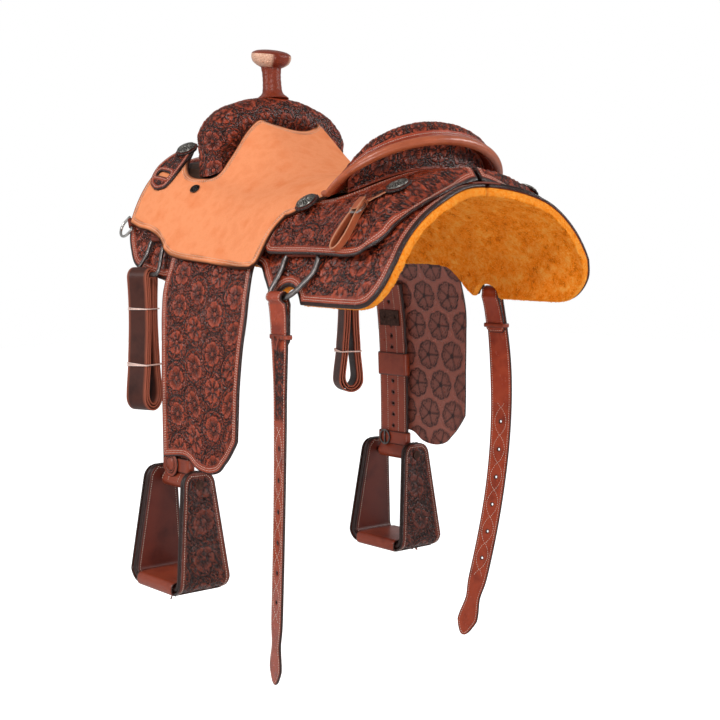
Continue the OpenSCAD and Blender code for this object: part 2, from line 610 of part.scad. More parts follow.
// The coiled latigo: folds of strap hung over the front dee's foot, turned a little outwards.
latigo_t = 4.5;
hank_loop = norm([dee_bar - 1, dee_t]) / 2 + 0.5;
hank_turn = 20;
module hank(len, w) {
  top = -hank_loop;
  slit = 3;
  translate(front_foot_at) {
    translate([0, 10, 0]) across(w - 4) difference() {
      circle(hank_loop + latigo_t);
      circle(hank_loop);
    }
    translate([0, 14, 0]) rotate([0, 0, hank_turn]) across(w) difference() {
      polygon([[-6, top], [-13, top - 30], [-17, top - len * 0.6], [-25, top - len + 38], [-22, top - len + 12],
        [-12, top - len], [12, top - len], [22, top - len + 12], [25, top - len + 38], [17, top - len * 0.6],
        [13, top - 30], [6, top]]);
      for (x = [-8, 5]) translate([x, top - len + 14]) square([slit, len - 50]);
    }
  }
}
module latigo_near() {
  color(dark_leather) hank(hank_len, billet_w - 2);
}
module half_breed_off() {
  color(dark_leather) off_side() hank(hank_len, billet_w - 2);
}

// ---- Tie straps under the rear conchos --------------------------------------
tie_rows = [for (i = [0:7]) 42 + i * 3.5];
tie_y = -286;
tie_low = jockey_t + 0.9;
function tie_point(t, y, o) = on_arch(y + (t - 36) * 0.55, t, jockey_under(t, y) + o);
module tie_strap() {
  ys = [-13, -3, 3, 13];
  grid = function (h) [for (t = tie_rows) [for (y = ys) tie_point(t, tie_y + y, tie_low + h)]];
  keep = [for (i = [0:len(tie_rows) - 2]) [for (j = [0:2]) j != 1 || i == 0 || i == len(tie_rows) - 2]];
  color([0.5, 0.26, 0.17]) sheet(grid(strap_t), grid(0), keep);
}
module tie_buckle() {
  t = 47;
  color(silver) translate(tie_point(t, tie_y, tie_low + strap_t + 2)) rotate([0, -lean_at(tie_y, t), 0])
    linear_extrude(2.5) difference() {
      circle(14);
      circle(9);
    }
}
clip_at = [tie_y - 3, 38];
module strap_clips() {
  color(silver) both_sides() on_surface(clip_at[0], clip_at[1], jockey_lift + jockey_t + 0.1)
    linear_extrude(2.4) difference() {
      circle(10);
      circle(6);
    }
}

// ---- Fenders and stirrup leathers ------------------------------------------
hinge = [-224, 103, -104];
// Above this height a fender follows the channel under the seat; below it hangs free and bows out.
free_z = -112;
channel_o = fender_room / 2;
bow_out = 31;
function fender_x(y, z) = let (c = (max(z, free_z) - arch_z) / (rise_at(y) + channel_o))
  -(arch_half_w + channel_o) * sqrt(1 - c * c) - bow_out * (1 - exp(-max(0, free_z - z) / 88));
function fender_rear(z) = lookup(-z, [[0, -62], [119, -66], [144, -69], [191, -72], [240, -68], [302, -64],
  [391, -61], [430, -50]]);
function fender_front(z) = lookup(-z, [[0, 172], [112, 173], [150, 175], [180, 171], [235, 163], [303, 158],
  [372, 154], [433, 152]]);
// Lower edge: a lobe at the back, a notch, and a straight front part.
function fender_foot(f) = hinge[2] - fender_drop + lookup(f, [[0, 62], [0.08, 30], [0.18, 9], [0.3, 1], [0.42, 1], [0.52, 6],
  [0.62, 18], [0.72, 21], [1, 14]]);
function fender_head(f) = hinge[2] + mix(12, 26, f);
fender_n = 11;
fender_m = 12;
function fender_grid(o) = [for (i = [0:fender_n]) [for (j = [0:fender_m])
  let (f = j / fender_m, z = mix(fender_head(f), fender_foot(f), i / fender_n), y = mix(fender_rear(z), fender_front(z), f))
  [fender_x(y, z) + o, y, z]]];
module fender() {
  color(chestnut) sheet(fender_grid(-fender_t / 2), fender_grid(fender_t / 2), all_cells(fender_n + 1, fender_m + 1));
}
leather_y = 124;
sleeve_t = 2;
sleeve_play = 0.8;
leather_in = fender_t / 2 + 2 * sleeve_play + sleeve_t + 0.4 + leather_t / 2;
bolt_z = hinge[2] - bolt_drop;
bolt_x = fender_x(leather_y - leather_w / 2, bolt_z) + leather_in;
turn_r = roller_d / 2 + run_gap + leather_t / 2;
function leather_at(z) = [fender_x(leather_y - leather_w / 2, z) + leather_in, leather_y, z];
module stirrup_leather() {
  rows = [for (i = [0:10]) [leather_at(mix(hinge[2] - 42, bolt_z + 4, i / 10)), leather_w / 2, [0, 1, 0]]];
  color(chestnut) difference() {
    union() {
      ribbon(rows, leather_t);
      translate([bolt_x, leather_y, bolt_z]) across(leather_w) circle(turn_r);
    }
    translate([bolt_x, leather_y, bolt_z]) across(leather_w + 2) circle(roller_d / 2 + run_gap);
    for (i = [0:5]) translate(leather_at(bolt_z + 95 + i * 22))
      rotate([0, 90, 0]) cylinder(h = 30, r = punch_d / 2, center = true);
  }
}
// The quick-change buckle on the inner face, its strap under a sleeve that slides over it.
pin_z = bolt_z + 262;
function inner_face(z) = leather_at(z)[0] + leather_t / 2;
module pin_buckle() {
  lean = atan((inner_face(pin_z + 10) - inner_face(pin_z - 10)) / 20);
  color(steel) translate([inner_face(pin_z) + 0.6, leather_y, pin_z]) rotate([0, lean, 0]) {
    translate([0, -27, -15]) cube([2, 54, 30]);
    for (s = [-1, 1]) translate([0, s * 15, 0]) rotate([0, 90, 0]) cylinder(h = 3.5, r = 3);
  }
}
sleeve_z = bolt_z + 150;
module leather_sleeve() {
  mid = sleeve_z + sleeve_h / 2;
  lean = atan((leather_at(mid + 20)[0] - leather_at(mid - 20)[0]) / 40);
  depth = leather_t + 2 * sleeve_play;
  wide = leather_w + 2 * sleeve_play;
  color(chestnut) translate(leather_at(mid)) rotate([0, lean, 0]) linear_extrude(sleeve_h, center = true) difference() {
    square([depth + 2 * sleeve_t, wide + 2 * sleeve_t], center = true);
    square([depth, wide], center = true);
  }
}
hobble_z = bolt_z + 18;
disc_reach = 12;
module hobble_strap() {
  x = leather_at(hobble_z)[0];
  color(chestnut) translate([x, leather_y, hobble_z]) union() {
    linear_extrude(hobble_h) difference() {
      square([leather_t + 2 * lay_gap + 2 * strap_t, leather_w + 2 * lay_gap + 2 * strap_t], center = true);
      square([leather_t + 2 * lay_gap, leather_w + 2 * lay_gap], center = true);
    }
    translate([-leather_t / 2 - lay_gap - strap_t, disc_reach, hobble_h / 2]) rotate([0, 90, 0])
      cylinder(h = strap_t, r = disc_reach);
  }
}
module hobble_buckle() {
  x = leather_at(hobble_z)[0] + leather_t / 2 + lay_gap + strap_t + 0.6;
  color(steel) translate([x, leather_y + 18, hobble_z + hobble_h / 2]) rotate([0, 90, 0]) linear_extrude(2.5) {
    difference() {
      circle(15);
      circle(12);
    }
    translate([-13.5, -1.5]) square([27, 3]);
  }
}

// ---- Stirrups ------------------------------------------------------------
stirrup_foot = bolt_z - stirrup_h;
head_over = 22;
wrap_over = 4;
// Outline across the opening: branches that widen to the tread, every corner rounded.
module bell(grow) {
  corner = 12 + grow;
  top = bolt_z + head_over;
  half_top = neck_len / 2 + grow;
  half_foot = tread_len / 2 + grow;
  translate([0, stirrup_foot - grow + corner]) {
    for (s = [-1, 1]) translate([s * (half_foot - corner), 0]) circle(corner);
    translate([-half_foot + corner, -corner]) square([2 * (half_foot - corner), corner]);
  }
  polygon([[-half_foot, stirrup_foot - grow + corner], [half_foot, stirrup_foot - grow + corner],
    [half_top, top], [-half_top, top]]);
}
// Outline seen along the saddle: as wide as the tread at its foot, narrow at its head.
module side_taper(inset) {
  top = bolt_z + head_over;
  half_top = branch_w / 2 - inset;
  half_foot = tread_w / 2 - inset;
  round_r = 12;
  polygon([[-half_top, top - round_r], [-half_top + round_r * 0.3, top - round_r * 0.3], [-half_top + round_r, top],
    [half_top - round_r, top], [half_top - round_r * 0.3, top - round_r * 0.3], [half_top, top - round_r],
    [half_foot, stirrup_foot + 8], [half_foot - 3, stirrup_foot - 30], [-half_foot + 3, stirrup_foot - 30],
    [-half_foot, stirrup_foot + 8]]);
}
module stirrup_shell(inner, outer, inset) {
  translate([bolt_x, leather_y, 0]) intersection() {
    rotate([90, 0, 90]) linear_extrude(2 * tread_w, center = true) difference() {
      bell(outer);
      bell(inner);
      translate([-neck_len / 2 - inner, bolt_z]) square([neck_len + 2 * inner, 60]);
    }
    rotate([90, 0, 0]) linear_extrude(2 * tread_len, center = true) side_taper(inset);
  }
}
module bolt_bore(r) {
  translate([bolt_x, leather_y, bolt_z]) across(2 * tread_len) circle(r);
}
module stirrup_frame() {
  color([0.5, 0.35, 0.25]) difference() {
    stirrup_shell(0, stirrup_t, 3);
    bolt_bore(bolt_d / 2 + 0.05);
  }
}
module stirrup_cover() {
  color(chestnut) difference() {
    stirrup_shell(stirrup_t + 0.4, stirrup_t + wrap_over, 0);
    bolt_bore(bolt_d / 2 + 4);
  }
}
module tread_cover() {
  color([0.4, 0.2, 0.14]) translate([bolt_x, leather_y, stirrup_foot + 0.6]) linear_extrude(3)
    square([tread_w - 8, tread_len - 26], center = true);
}
module stirrup_bolt() {
  reach = neck_len / 2 + stirrup_t + 3.3;
  color(steel) translate([bolt_x, leather_y, bolt_z]) union() {
    across(2 * reach) circle(bolt_d / 2);
    across(leather_w + 4) circle(roller_d / 2);
    for (s = [-1, 1]) translate([0, s * (reach + 1.5), 0]) across(3) circle(bolt_d / 2 + 3);
  }
}

tree_bars();
fork();
cantle_board();
horn_core();
horn_wrap();
horn_cap();
swell_cover();
ground_seat();
seat_leather();
cantle_cover();
cheyenne_roll();
roll_binding();
rear_jockeys();
skirt_near();
skirt_off();
sheepskin_lining();
skirt_tab();
rosettes();
conchos();
seat_screws();
latigo_keepers();
rigging_straps();
strap_clips();
bar_loops();
front_dee();  // front_dee_near
off_side() front_dee();  // front_dee_off
rear_dee();  // rear_dee_near
off_side() rear_dee();  // rear_dee_off
breast_dee();  // breast_dee_near
off_side() breast_dee();  // breast_dee_off
rear_billet();  // rear_billet_near
off_side() rear_billet();  // rear_billet_off
latigo_near();
half_breed_off();
tie_strap();  // tie_strap_near
off_side() tie_strap();  // tie_strap_off
tie_buckle();  // tie_buckle_near
off_side() tie_buckle();  // tie_buckle_off
fender();  // fender_near
off_side() fender();  // fender_off
stirrup_leather();  // stirrup_leather_near
off_side() stirrup_leather();  // stirrup_leather_off
pin_buckle();  // pin_buckle_near
off_side() pin_buckle();  // pin_buckle_off
leather_sleeve();  // leather_sleeve_near
off_side() leather_sleeve();  // leather_sleeve_off
hobble_strap();  // hobble_strap_near
off_side() hobble_strap();  // hobble_strap_off
hobble_buckle();  // hobble_buckle_near
off_side() hobble_buckle();  // hobble_buckle_off
stirrup_frame();  // stirrup_frame_near
off_side() stirrup_frame();  // stirrup_frame_off
stirrup_cover();  // stirrup_cover_near
off_side() stirrup_cover();  // stirrup_cover_off
tread_cover();  // tread_cover_near
off_side() tread_cover();  // tread_cover_off
stirrup_bolt();  // stirrup_bolt_near
off_side() stirrup_bolt();  // stirrup_bolt_off
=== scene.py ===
"""Western saddle: every visible finish, stitch, carved pattern and fleece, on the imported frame."""
import math

import bpy
import numpy as np
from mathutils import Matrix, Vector


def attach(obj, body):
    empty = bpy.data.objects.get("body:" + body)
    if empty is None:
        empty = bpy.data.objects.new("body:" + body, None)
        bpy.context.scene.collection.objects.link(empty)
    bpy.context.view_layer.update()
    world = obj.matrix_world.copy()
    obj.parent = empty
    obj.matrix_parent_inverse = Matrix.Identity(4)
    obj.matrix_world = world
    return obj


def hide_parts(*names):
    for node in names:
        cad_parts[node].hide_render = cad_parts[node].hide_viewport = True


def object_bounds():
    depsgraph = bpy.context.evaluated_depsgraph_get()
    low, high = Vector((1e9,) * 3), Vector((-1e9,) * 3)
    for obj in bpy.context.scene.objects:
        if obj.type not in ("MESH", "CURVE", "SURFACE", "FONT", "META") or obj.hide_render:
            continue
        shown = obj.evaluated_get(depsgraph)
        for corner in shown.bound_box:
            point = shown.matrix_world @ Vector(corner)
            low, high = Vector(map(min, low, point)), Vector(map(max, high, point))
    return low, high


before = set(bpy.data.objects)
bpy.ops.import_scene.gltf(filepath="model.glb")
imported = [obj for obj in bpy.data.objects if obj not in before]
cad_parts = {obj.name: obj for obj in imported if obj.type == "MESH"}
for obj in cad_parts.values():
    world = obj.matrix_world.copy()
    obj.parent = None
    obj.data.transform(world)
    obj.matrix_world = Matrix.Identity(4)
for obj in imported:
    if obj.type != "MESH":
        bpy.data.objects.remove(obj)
cad_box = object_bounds()
MM = 0.001


# ---- Camera and lights --------------------------------------------------------
LENS, SENSOR = 65.8, 36.0    # mm
LOOK_YAW, LOOK_PITCH = 40.4, 4.9    # degrees: towards the saddle's front, and down
LOOK_AT, LOOK_FROM = (0.0, -0.063, -0.269), 2.255    # metres: the aim, and how far off the camera stands


def make_camera():
    data = bpy.data.cameras.new("camera")
    data.lens = LENS
    data.sensor_width = SENSOR
    data.clip_end = 30.0
    cam = bpy.data.objects.new("camera", data)
    bpy.context.scene.collection.objects.link(cam)
    yaw, pitch = math.radians(LOOK_YAW), math.radians(LOOK_PITCH)
    ahead = Vector((math.sin(yaw) * math.cos(pitch), math.cos(yaw) * math.cos(pitch), -math.sin(pitch)))
    cam.location = Vector(LOOK_AT) - ahead * LOOK_FROM
    cam.rotation_mode = "QUATERNION"
    cam.rotation_quaternion = ahead.to_track_quat("-Z", "Y")
    bpy.context.scene.camera = cam


def soft_light(name, place, target, size, power):
    """A round white lamp: places and size in metres, power in watts."""
    data = bpy.data.lights.new(name, "AREA")
    data.shape = "DISK"
    data.size = size
    data.energy = power
    lamp = bpy.data.objects.new(name, data)
    bpy.context.scene.collection.objects.link(lamp)
    lamp.location = place
    aim = Vector(target) - Vector(place)
    lamp.rotation_mode = "QUATERNION"
    lamp.rotation_quaternion = aim.to_track_quat("-Z", "Y")


# ---- Colours and node helpers ---------------------------------------------------
def linear(hex_colour):
    """An sRGB hex colour as linear RGBA."""
    parts = [int(hex_colour[i:i + 2], 16) / 255 for i in (1, 3, 5)]
    return tuple(c / 12.92 if c <= 0.04045 else ((c + 0.055) / 1.055) ** 2.4 for c in parts) + (1.0,)


def new_material(name):
    mat = bpy.data.materials.new(name)
    mat.use_nodes = True
    mat.node_tree.nodes.clear()
    return mat, mat.node_tree


def feed(tree, socket, value):
    """Links an input to another node's socket, or sets it to a value."""
    if isinstance(value, bpy.types.NodeSocket):
        tree.links.new(value, socket)
    else:
        socket.default_value = value


def node(tree, kind, settings=None, inputs=None):
    """Adds a node with its settings, and its inputs given as values or as sockets to link."""
    made = tree.nodes.new(kind)
    for key, value in (settings or {}).items():
        setattr(made, key, value)
    for key, value in (inputs or {}).items():
        feed(tree, made.inputs[key], value)
    return made


def ramp(tree, fac, stops):
    """Colours or plain numbers picked by place along a ramp."""
    made = node(tree, "ShaderNodeValToRGB", None, {"Fac": fac})
    elements = made.color_ramp.elements
    while len(elements) < len(stops):
        elements.new(0.5)
    for element, (place, colour) in zip(elements, stops):
        element.position = place
        element.color = linear(colour) if isinstance(colour, str) else (colour, colour, colour, 1.0)
    return made.outputs["Color"]


def mix_colour(tree, fac, a, b, blend="MIX"):
    made = node(tree, "ShaderNodeMix", {"data_type": "RGBA", "blend_type": blend, "clamp_factor": True})
    for key, value in ((0, fac), (6, a), (7, b)):    # the colour mix's own sockets
        feed(tree, made.inputs[key], value)
    return made.outputs[2]


def sums(tree, operation, a, b):
    return node(tree, "ShaderNodeMath", {"operation": operation}, {0: a, 1: b}).outputs[0]


def weighed(tree, *terms):
    """The sum of values, each times its weight."""
    total = sums(tree, "MULTIPLY", *terms[0])
    for value, weight in terms[1:]:
        total = sums(tree, "ADD", total, sums(tree, "MULTIPLY", value, weight))
    return total


def object_coords(tree):
    return node(tree, "ShaderNodeTexCoord").outputs["Object"]


def mark(tree, key):
    """A number stored on the piece's points."""
    return node(tree, "ShaderNodeAttribute", {"attribute_name": key}).outputs["Fac"]


def noise(tree, coords, scale, detail=3.0, rough=0.55, distortion=0.0):
    return node(tree, "ShaderNodeTexNoise", None, {"Vector": coords, "Scale": scale, "Detail": detail,
                "Roughness": rough, "Distortion": distortion}).outputs["Fac"]


def cells(tree, coords, scale, feature="F1"):
    return node(tree, "ShaderNodeTexVoronoi", {"feature": feature},
                {"Vector": coords, "Scale": scale}).outputs["Distance"]


def bump(tree, height, distance, strength=1.0):
    return node(tree, "ShaderNodeBump", None,
                {"Height": height, "Distance": distance, "Strength": strength}).outputs["Normal"]


def surface(tree, colour, roughness, normal, **sockets):
    """The shader and the material's output; other sockets are named with underscores for spaces."""
    inputs = {"Base Color": colour, "Roughness": roughness, "Normal": normal}
    inputs.update({key.replace("_", " "): value for key, value in sockets.items()})
    shader = node(tree, "ShaderNodeBsdfPrincipled", None, inputs)
    node(tree, "ShaderNodeOutputMaterial", None, {"Surface": shader.outputs[0]})


# ---- Materials --------------------------------------------------------------------
def leather_material(name, face, deep, edge, gloss, pores=0.45, marks=0.5, flesh=None, shine=0.45):
    """Veg-tanned leather. The piece's attributes say where it is carved (tool, 0 in a recess to 1 on top),
    where its background is matted (mat) and how near its cut edge is (rim)."""
    mat, tree = new_material(name)
    coords = object_coords(tree)
    tool = mark(tree, "tool")
    matted = mark(tree, "mat")
    rim = mark(tree, "rim")
    # Hide varies over centimetres; oil gathers in blotches; grain is about half a millimetre.
    blotch = noise(tree, coords, 22.0, 4.0, 0.6)
    hide = ramp(tree, blotch, [(0.30, face[0]), (0.5, face[1]), (0.72, face[2])])
    grain = cells(tree, coords, 1400.0)
    fine = noise(tree, coords, 900.0, 2.0, 0.6)
    speck = ramp(tree, fine, [(0.32, 0.78), (0.62, 1.0)])
    hide = mix_colour(tree, marks, hide, speck, "MULTIPLY")
    # Fine cuts wander over the worked face, as bent lines round cells of about 8 mm.
    drift = node(tree, "ShaderNodeTexNoise", None, {"Vector": coords, "Scale": 34.0, "Detail": 1.0})
    bend = node(tree, "ShaderNodeVectorMath", {"operation": "MULTIPLY_ADD"},
                {0: drift.outputs["Color"], 1: (0.045, 0.045, 0.045), 2: coords}).outputs["Vector"]
    cuts = ramp(tree, cells(tree, bend, 125.0, "DISTANCE_TO_EDGE"), [(0.02, 1.0), (0.10, 0.0)])
    worked = ramp(tree, tool, [(0.25, 0.8), (0.8, 0.45), (0.97, 0.0)])
    cuts = sums(tree, "MULTIPLY", cuts, worked)
    # Painted shade: the cut sides of petals and leaves are darkened, so their crests read lighter as if lit.
    sides = mix_colour(tree, 0.72, hide, linear(deep))
    hide = mix_colour(tree, ramp(tree, tool, [(0.38, 0.85), (0.66, 0.3), (0.86, 0.0)]), hide, sides)
    hide = mix_colour(tree, sums(tree, "MULTIPLY", cuts, 0.35), hide, linear(deep))
    carved = mix_colour(tree, ramp(tree, tool, [(0.02, 1.0), (0.22, 0.6), (0.5, 0.0)]), hide, linear(deep))
    pits = cells(tree, coords, 620.0)
    pitted = mix_colour(tree, ramp(tree, pits, [(0.15, 0.0), (0.5, 1.0)]), linear(edge[0]), carved)
    carved = mix_colour(tree, sums(tree, "MULTIPLY", matted, 0.35), carved, pitted)
    cut = mix_colour(tree, fine, linear(edge[0]), linear(edge[1]))
    colour = mix_colour(tree, rim, carved, cut)
    if flesh:
        back = mark(tree, "back")
        nap = mix_colour(tree, noise(tree, coords, 420.0, 4.0, 0.7), linear(flesh[0]), linear(flesh[1]))
        nap = mix_colour(tree, matted, nap, linear(flesh[2]))
        colour = mix_colour(tree, back, colour, nap)
    height = weighed(tree, (grain, pores), (fine, 0.5), (sums(tree, "MULTIPLY", pits, matted), 1.6))
    height = sums(tree, "SUBTRACT", height, sums(tree, "MULTIPLY", cuts, 3.0))
    rough = sums(tree, "ADD", gloss, sums(tree, "MULTIPLY", noise(tree, coords, 60.0, 3.0), 0.12))
    rough = sums(tree, "ADD", rough, sums(tree, "MULTIPLY", matted, 0.1))
    surface(tree, colour, rough, bump(tree, height, 0.00035, 1.0), IOR=1.5, Specular_IOR_Level=shine)
    return mat


# ---- The saddle's surfaces, in millimetres ------------------------------------------
# The arch over the horse's back: half its width, its rise, the extra rise at the withers, and its foot.
ARCH_HALF, ARCH_RISE, WITHER, ARCH_Z = 228.0, 185.0, 87.0, -165.2
WITHER_FROM, WITHER_RUN = 20.0, 300.0    # where the arch starts to climb, and over what length
JOCKEY_T = 4.5    # thickness of the seat and jockeys


def ease(u):
    """A smooth step from 0 to 1."""
    c = np.clip(u, 0.0, 1.0)
    return c * c * (3 - 2 * c)


def blend_of(a, b, f):
    return a + (b - a) * f


def rise_at(y):
    return ARCH_RISE + WITHER * ease((y - WITHER_FROM) / WITHER_RUN)


def on_arch(y, t, o):
    """Points on the near side: y along the saddle, t degrees down from the crown, o above the skirts."""
    a = np.radians(t)
    y, a, o = np.broadcast_arrays(np.asarray(y, float), a, np.asarray(o, float))
    return np.stack([-(ARCH_HALF + o) * np.sin(a), y, ARCH_Z + (rise_at(y) + o) * np.cos(a)], axis=-1)


def lift(t, low, high):
    return low + (high - low) * ease((62 - np.abs(t)) / 24)


def seat_under(t):
    return lift(t, 16, 28)


def jockey_under(t, y):
    return blend_of(0.8, lift(t, 11, 22), ease((y + 352) / 22))


def seat_point(y, t, o):
    """Points on the seat: the arch raised by the ramp up the fork, the dish and the climb to the cantle."""
    q = on_arch(y, t, seat_under(t) + o)
    x, y = q[..., 0], q[..., 1]
    up = 82 * ease((y + 30) / 190) * ease((150 - np.abs(x)) / 90) * (1 - ease((y - 150) / 60))
    up = up - 12 * ease((110 - np.abs(x)) / 110) * ease(1 - np.abs(y + 95) / 95)
    rho = np.hypot(x / 125.5, np.minimum(0, y + 150) / 88)
    a = np.degrees(np.arctan2(np.abs(x), np.maximum(1, -1.45 * (y + 150))))
    up = up + 65 * np.maximum(0, 1 - (a / 64) ** 4) * np.minimum(1, rho) ** 3.2 * ease((-60 - y) / 90)
    q[..., 2] += up
    return q


def lengths(path):
    """The length run along a path up to each of its points."""
    return np.concatenate([[0], np.cumsum(np.linalg.norm(np.diff(path, axis=0), axis=1))])


def unit(v):
    return v / (np.linalg.norm(v, axis=-1, keepdims=True) + 1e-12)


def through(rows, at):
    """A smooth line through rows of numbers, read at fractional row numbers."""
    v = np.asarray(rows, float)
    v = v[:, None] if v.ndim == 1 else v
    n = len(v)
    v = np.vstack([2 * v[0] - v[1], v, 2 * v[-1] - v[-2]])
    at = np.clip(np.asarray(at, float), 0, n - 1)
    i = np.minimum(at.astype(int), n - 2)
    f = (at - i)[:, None]
    a, b, c, d = v[i], v[i + 1], v[i + 2], v[i + 3]
    return 0.5 * (2 * b + (c - a) * f + (2 * a - 5 * b + 4 * c - d) * f ** 2
                  + (3 * b - a - 3 * c + d) * f ** 3)


def spread_rows(rows, count, weights):
    """Fractional row numbers for count rows, evenly spaced by the weighted length of their line."""
    at = np.linspace(0, len(rows) - 1, 40 * len(rows))
    v = through(rows, at) * np.asarray(weights)
    run = lengths(v)
    return np.interp(np.linspace(0, run[-1], count), run, at)


# ---- Carving ------------------------------------------------------------------------
CELL = 0.6    # mm between the points of a carving's drawing
GROUND, FOOT = 0.16, 0.34    # heights of the stamped ground, and of a petal or leaf at its outline
MOAT, BEVEL = 1.6, 1.3    # mm: the cut outside an outline, and the rounded way up inside it


class Carving:
    """Floral carving drawn flat: height is 1 on the uncut face and 0 at the bottom, matted is 1 where
    the ground between the flowers is stamped down."""

    def __init__(self, width, depth, seed, pitch=50.0, margin=20.0):
        self.margin = margin
        n, m = int((width + 2 * margin) / CELL) + 2, int((depth + 2 * margin) / CELL) + 2
        self.height = np.full((n, m), GROUND)
        self.matted = np.ones((n, m))
        self.rng = np.random.default_rng(seed)
        self.fill(n * CELL, m * CELL, pitch)

    def stamp(self, x, y, reach, shape):
        """Draws one element: shape(X, Y) gives its signed distance and its height."""
        i0, i1 = max(0, int((x - reach) / CELL)), min(self.height.shape[0], int((x + reach) / CELL) + 2)
        j0, j1 = max(0, int((y - reach) / CELL)), min(self.height.shape[1], int((y + reach) / CELL) + 2)
        if i0 >= i1 or j0 >= j1:
            return
        gx, gy = np.meshgrid(np.arange(i0, i1) * CELL - x, np.arange(j0, j1) * CELL - y, indexing="ij")
        far, high = shape(gx, gy)
        part = self.height[i0:i1, j0:j1]
        mats = self.matted[i0:i1, j0:j1]
        moat = (far > 0) & (far < MOAT)
        part[moat] = np.minimum(part[moat], 0.0)
        inside = far <= 0
        edge = np.clip(-far / BEVEL, 0, 1) ** 0.6
        part[inside] = (FOOT + (high - FOOT) * edge)[inside]
        mats[inside] = 0.0

    def flower(self, x, y, size, petals, turn):
        """A flower seen from above: notched petals with cut veins round a domed heart."""
        def shape(gx, gy):
            r, a = np.hypot(gx, gy), np.arctan2(gy, gx) + turn
            # The angle from a petal's edge.
            side = np.abs(np.arcsin(np.clip(np.cos(petals * a / 2), -1, 1)) * 2 / petals)
            lobe = np.abs(np.cos(petals * a / 2))
            notch = np.exp(-(((lobe - 1) / 0.03) ** 2))
            rim = size * (0.74 + 0.26 * lobe ** 0.5 - 0.07 * notch) * (1 + 0.03 * np.cos(petals * 5 * a))
            share = np.clip(r / rim, 0, 1)
            high = 0.5 + 0.5 * share ** 1.1
            if petals < 7:
                vein = np.minimum(np.abs(side * r - 0.24 * r), np.abs(side * r - 0.5 * r))
            else:
                vein = np.abs(side * r - 0.2 * r)
            high = high - 0.55 * np.exp(-((vein / 0.85) ** 2)) * (share > 0.35) * (share < 0.82)
            high = high * np.clip(side * r / 1.9, 0.0, 1)
            inner = size * 0.24
            seeds = 0.72 + 0.2 * np.cos(gx * 3.6) * np.cos(gy * 3.6) - 0.25 * (r / inner) ** 2
            high = np.where(r < inner, seeds, high)
            high = np.where(np.abs(r - inner) < 0.9, 0.02, high)
            return r - rim, high
        self.stamp(x, y, size * 1.2, shape)

    def leaf(self, x, y, turn, length, width, bend=0.25):
        """A long leaf with a scalloped rim and a cut midrib."""
        def shape(gx, gy):
            c, s = math.cos(turn), math.sin(turn)
            u, v = gx * c + gy * s, gy * c - gx * s
            f = np.clip(u / length, 0, 1)
            v = v - bend * length * f * f
            half = (width * np.sin(math.pi * np.clip(f, 0.02, 1) ** 0.7) ** 0.7
                    * (1 + 0.12 * np.cos(7 * math.pi * f)))
            far = np.maximum(np.abs(v) - half, np.maximum(-u, u - length))
            high = 0.62 + 0.38 * np.clip(np.abs(v) / np.maximum(half, 0.5), 0, 1) ** 1.2
            high = high - (0.35 * np.exp(-(((u * 0.36 - np.abs(v) * 0.5) % 1.7 - 0.85) / 0.3) ** 2)
                           * (np.abs(v) > 0.5))
            return far, np.where(np.abs(v) < 0.75, 0.05, high)
        self.stamp(x, y, length * 1.35, shape)

    def stem(self, x, y, radius, width, start, sweep):
        """A curling stem that thins towards its tip, with a line cut along it."""
        def shape(gx, gy):
            r = np.hypot(gx, gy)
            a = (np.arctan2(gy, gx) - start) % (2 * math.pi)
            f = a / sweep
            half = width / 2 * np.clip(1.15 - 0.6 * f, 0.3, 1)
            off = r - radius * (1 - 0.10 * f)
            far = np.where(f < 1, np.abs(off) - half, 5.0)
            return far, np.where(np.abs(off - half * 0.35) < 0.3, 0.4, 0.9)
        self.stamp(x, y, radius * 1.1 + width, shape)

    def wreath(self, x, y, count, start, out, turn, length, width, bend):
        """Leaves standing in a ring."""
        for k in range(count):
            a = start + k * 2 * math.pi / count
            self.leaf(x + out * math.cos(a), y + out * math.sin(a), a + turn, length, width, bend)

    def fill(self, wide, deep, pitch):
        """Flowers in offset rows, each in a curled stem with leaves inside and out, layered from below."""
        row_gap = pitch * 0.87
        places = []
        for j in range(-1, int(deep / row_gap) + 2):
            for i in range(-1, int(wide / pitch) + 2):
                dx, dy = self.rng.uniform(-0.05, 0.05, 2) * pitch
                places.append(((i + 0.5 * (j % 2)) * pitch + dx, j * row_gap + dy, (i + 2 * j) % 3))
        turns = self.rng.uniform(0, 6.28, len(places))
        for x, y, _ in places:
            for k in range(6):
                a = math.radians(30 + 60 * k)
                gx, gy = x + pitch * 0.60 * math.cos(a), y + pitch * 0.60 * math.sin(a)
                for fan in (-1.0, 0.0, 1.0):
                    self.leaf(gx, gy, a + math.pi + fan * 0.95, pitch * 0.30, pitch * 0.088, 0.2 * fan)
        for (x, y, _), start in zip(places, turns):
            self.wreath(x, y, 9, start, pitch * 0.36, 0.9, pitch * 0.28, pitch * 0.088, 0.35)
        for (x, y, kind), start in zip(places, turns):
            self.stem(x, y, pitch * 0.47, pitch * 0.06, start, 5.3)
            self.wreath(x, y, 8, start, pitch * 0.27, 0.6, pitch * 0.24, pitch * 0.086, -0.25)
            self.flower(x, y, pitch * (0.37, 0.35, 0.36)[kind], (5, 6, 7)[kind], start)

    def read(self, field, u, v):
        """Bilinear reading at flat places in mm."""
        a, b = (u + self.margin) / CELL, (v + self.margin) / CELL
        n, m = field.shape
        a, b = np.clip(a, 0, n - 1.001), np.clip(b, 0, m - 1.001)
        i, j = a.astype(int), b.astype(int)
        f, g = a - i, b - j
        return ((field[i, j] * (1 - g) + field[i, j + 1] * g) * (1 - f)
                + (field[i + 1, j] * (1 - g) + field[i + 1, j + 1] * g) * f)


# ---- Meshes -------------------------------------------------------------------------
NO_TRIS = np.zeros((0, 3), int)
CAST = np.array([-1.0, 1.0, 1.0])    # turns a near-side place into its far-side twin
CORNERS = [(a, b) for a in (slice(None, -1), slice(1, None)) for b in (slice(None, -1), slice(1, None))]


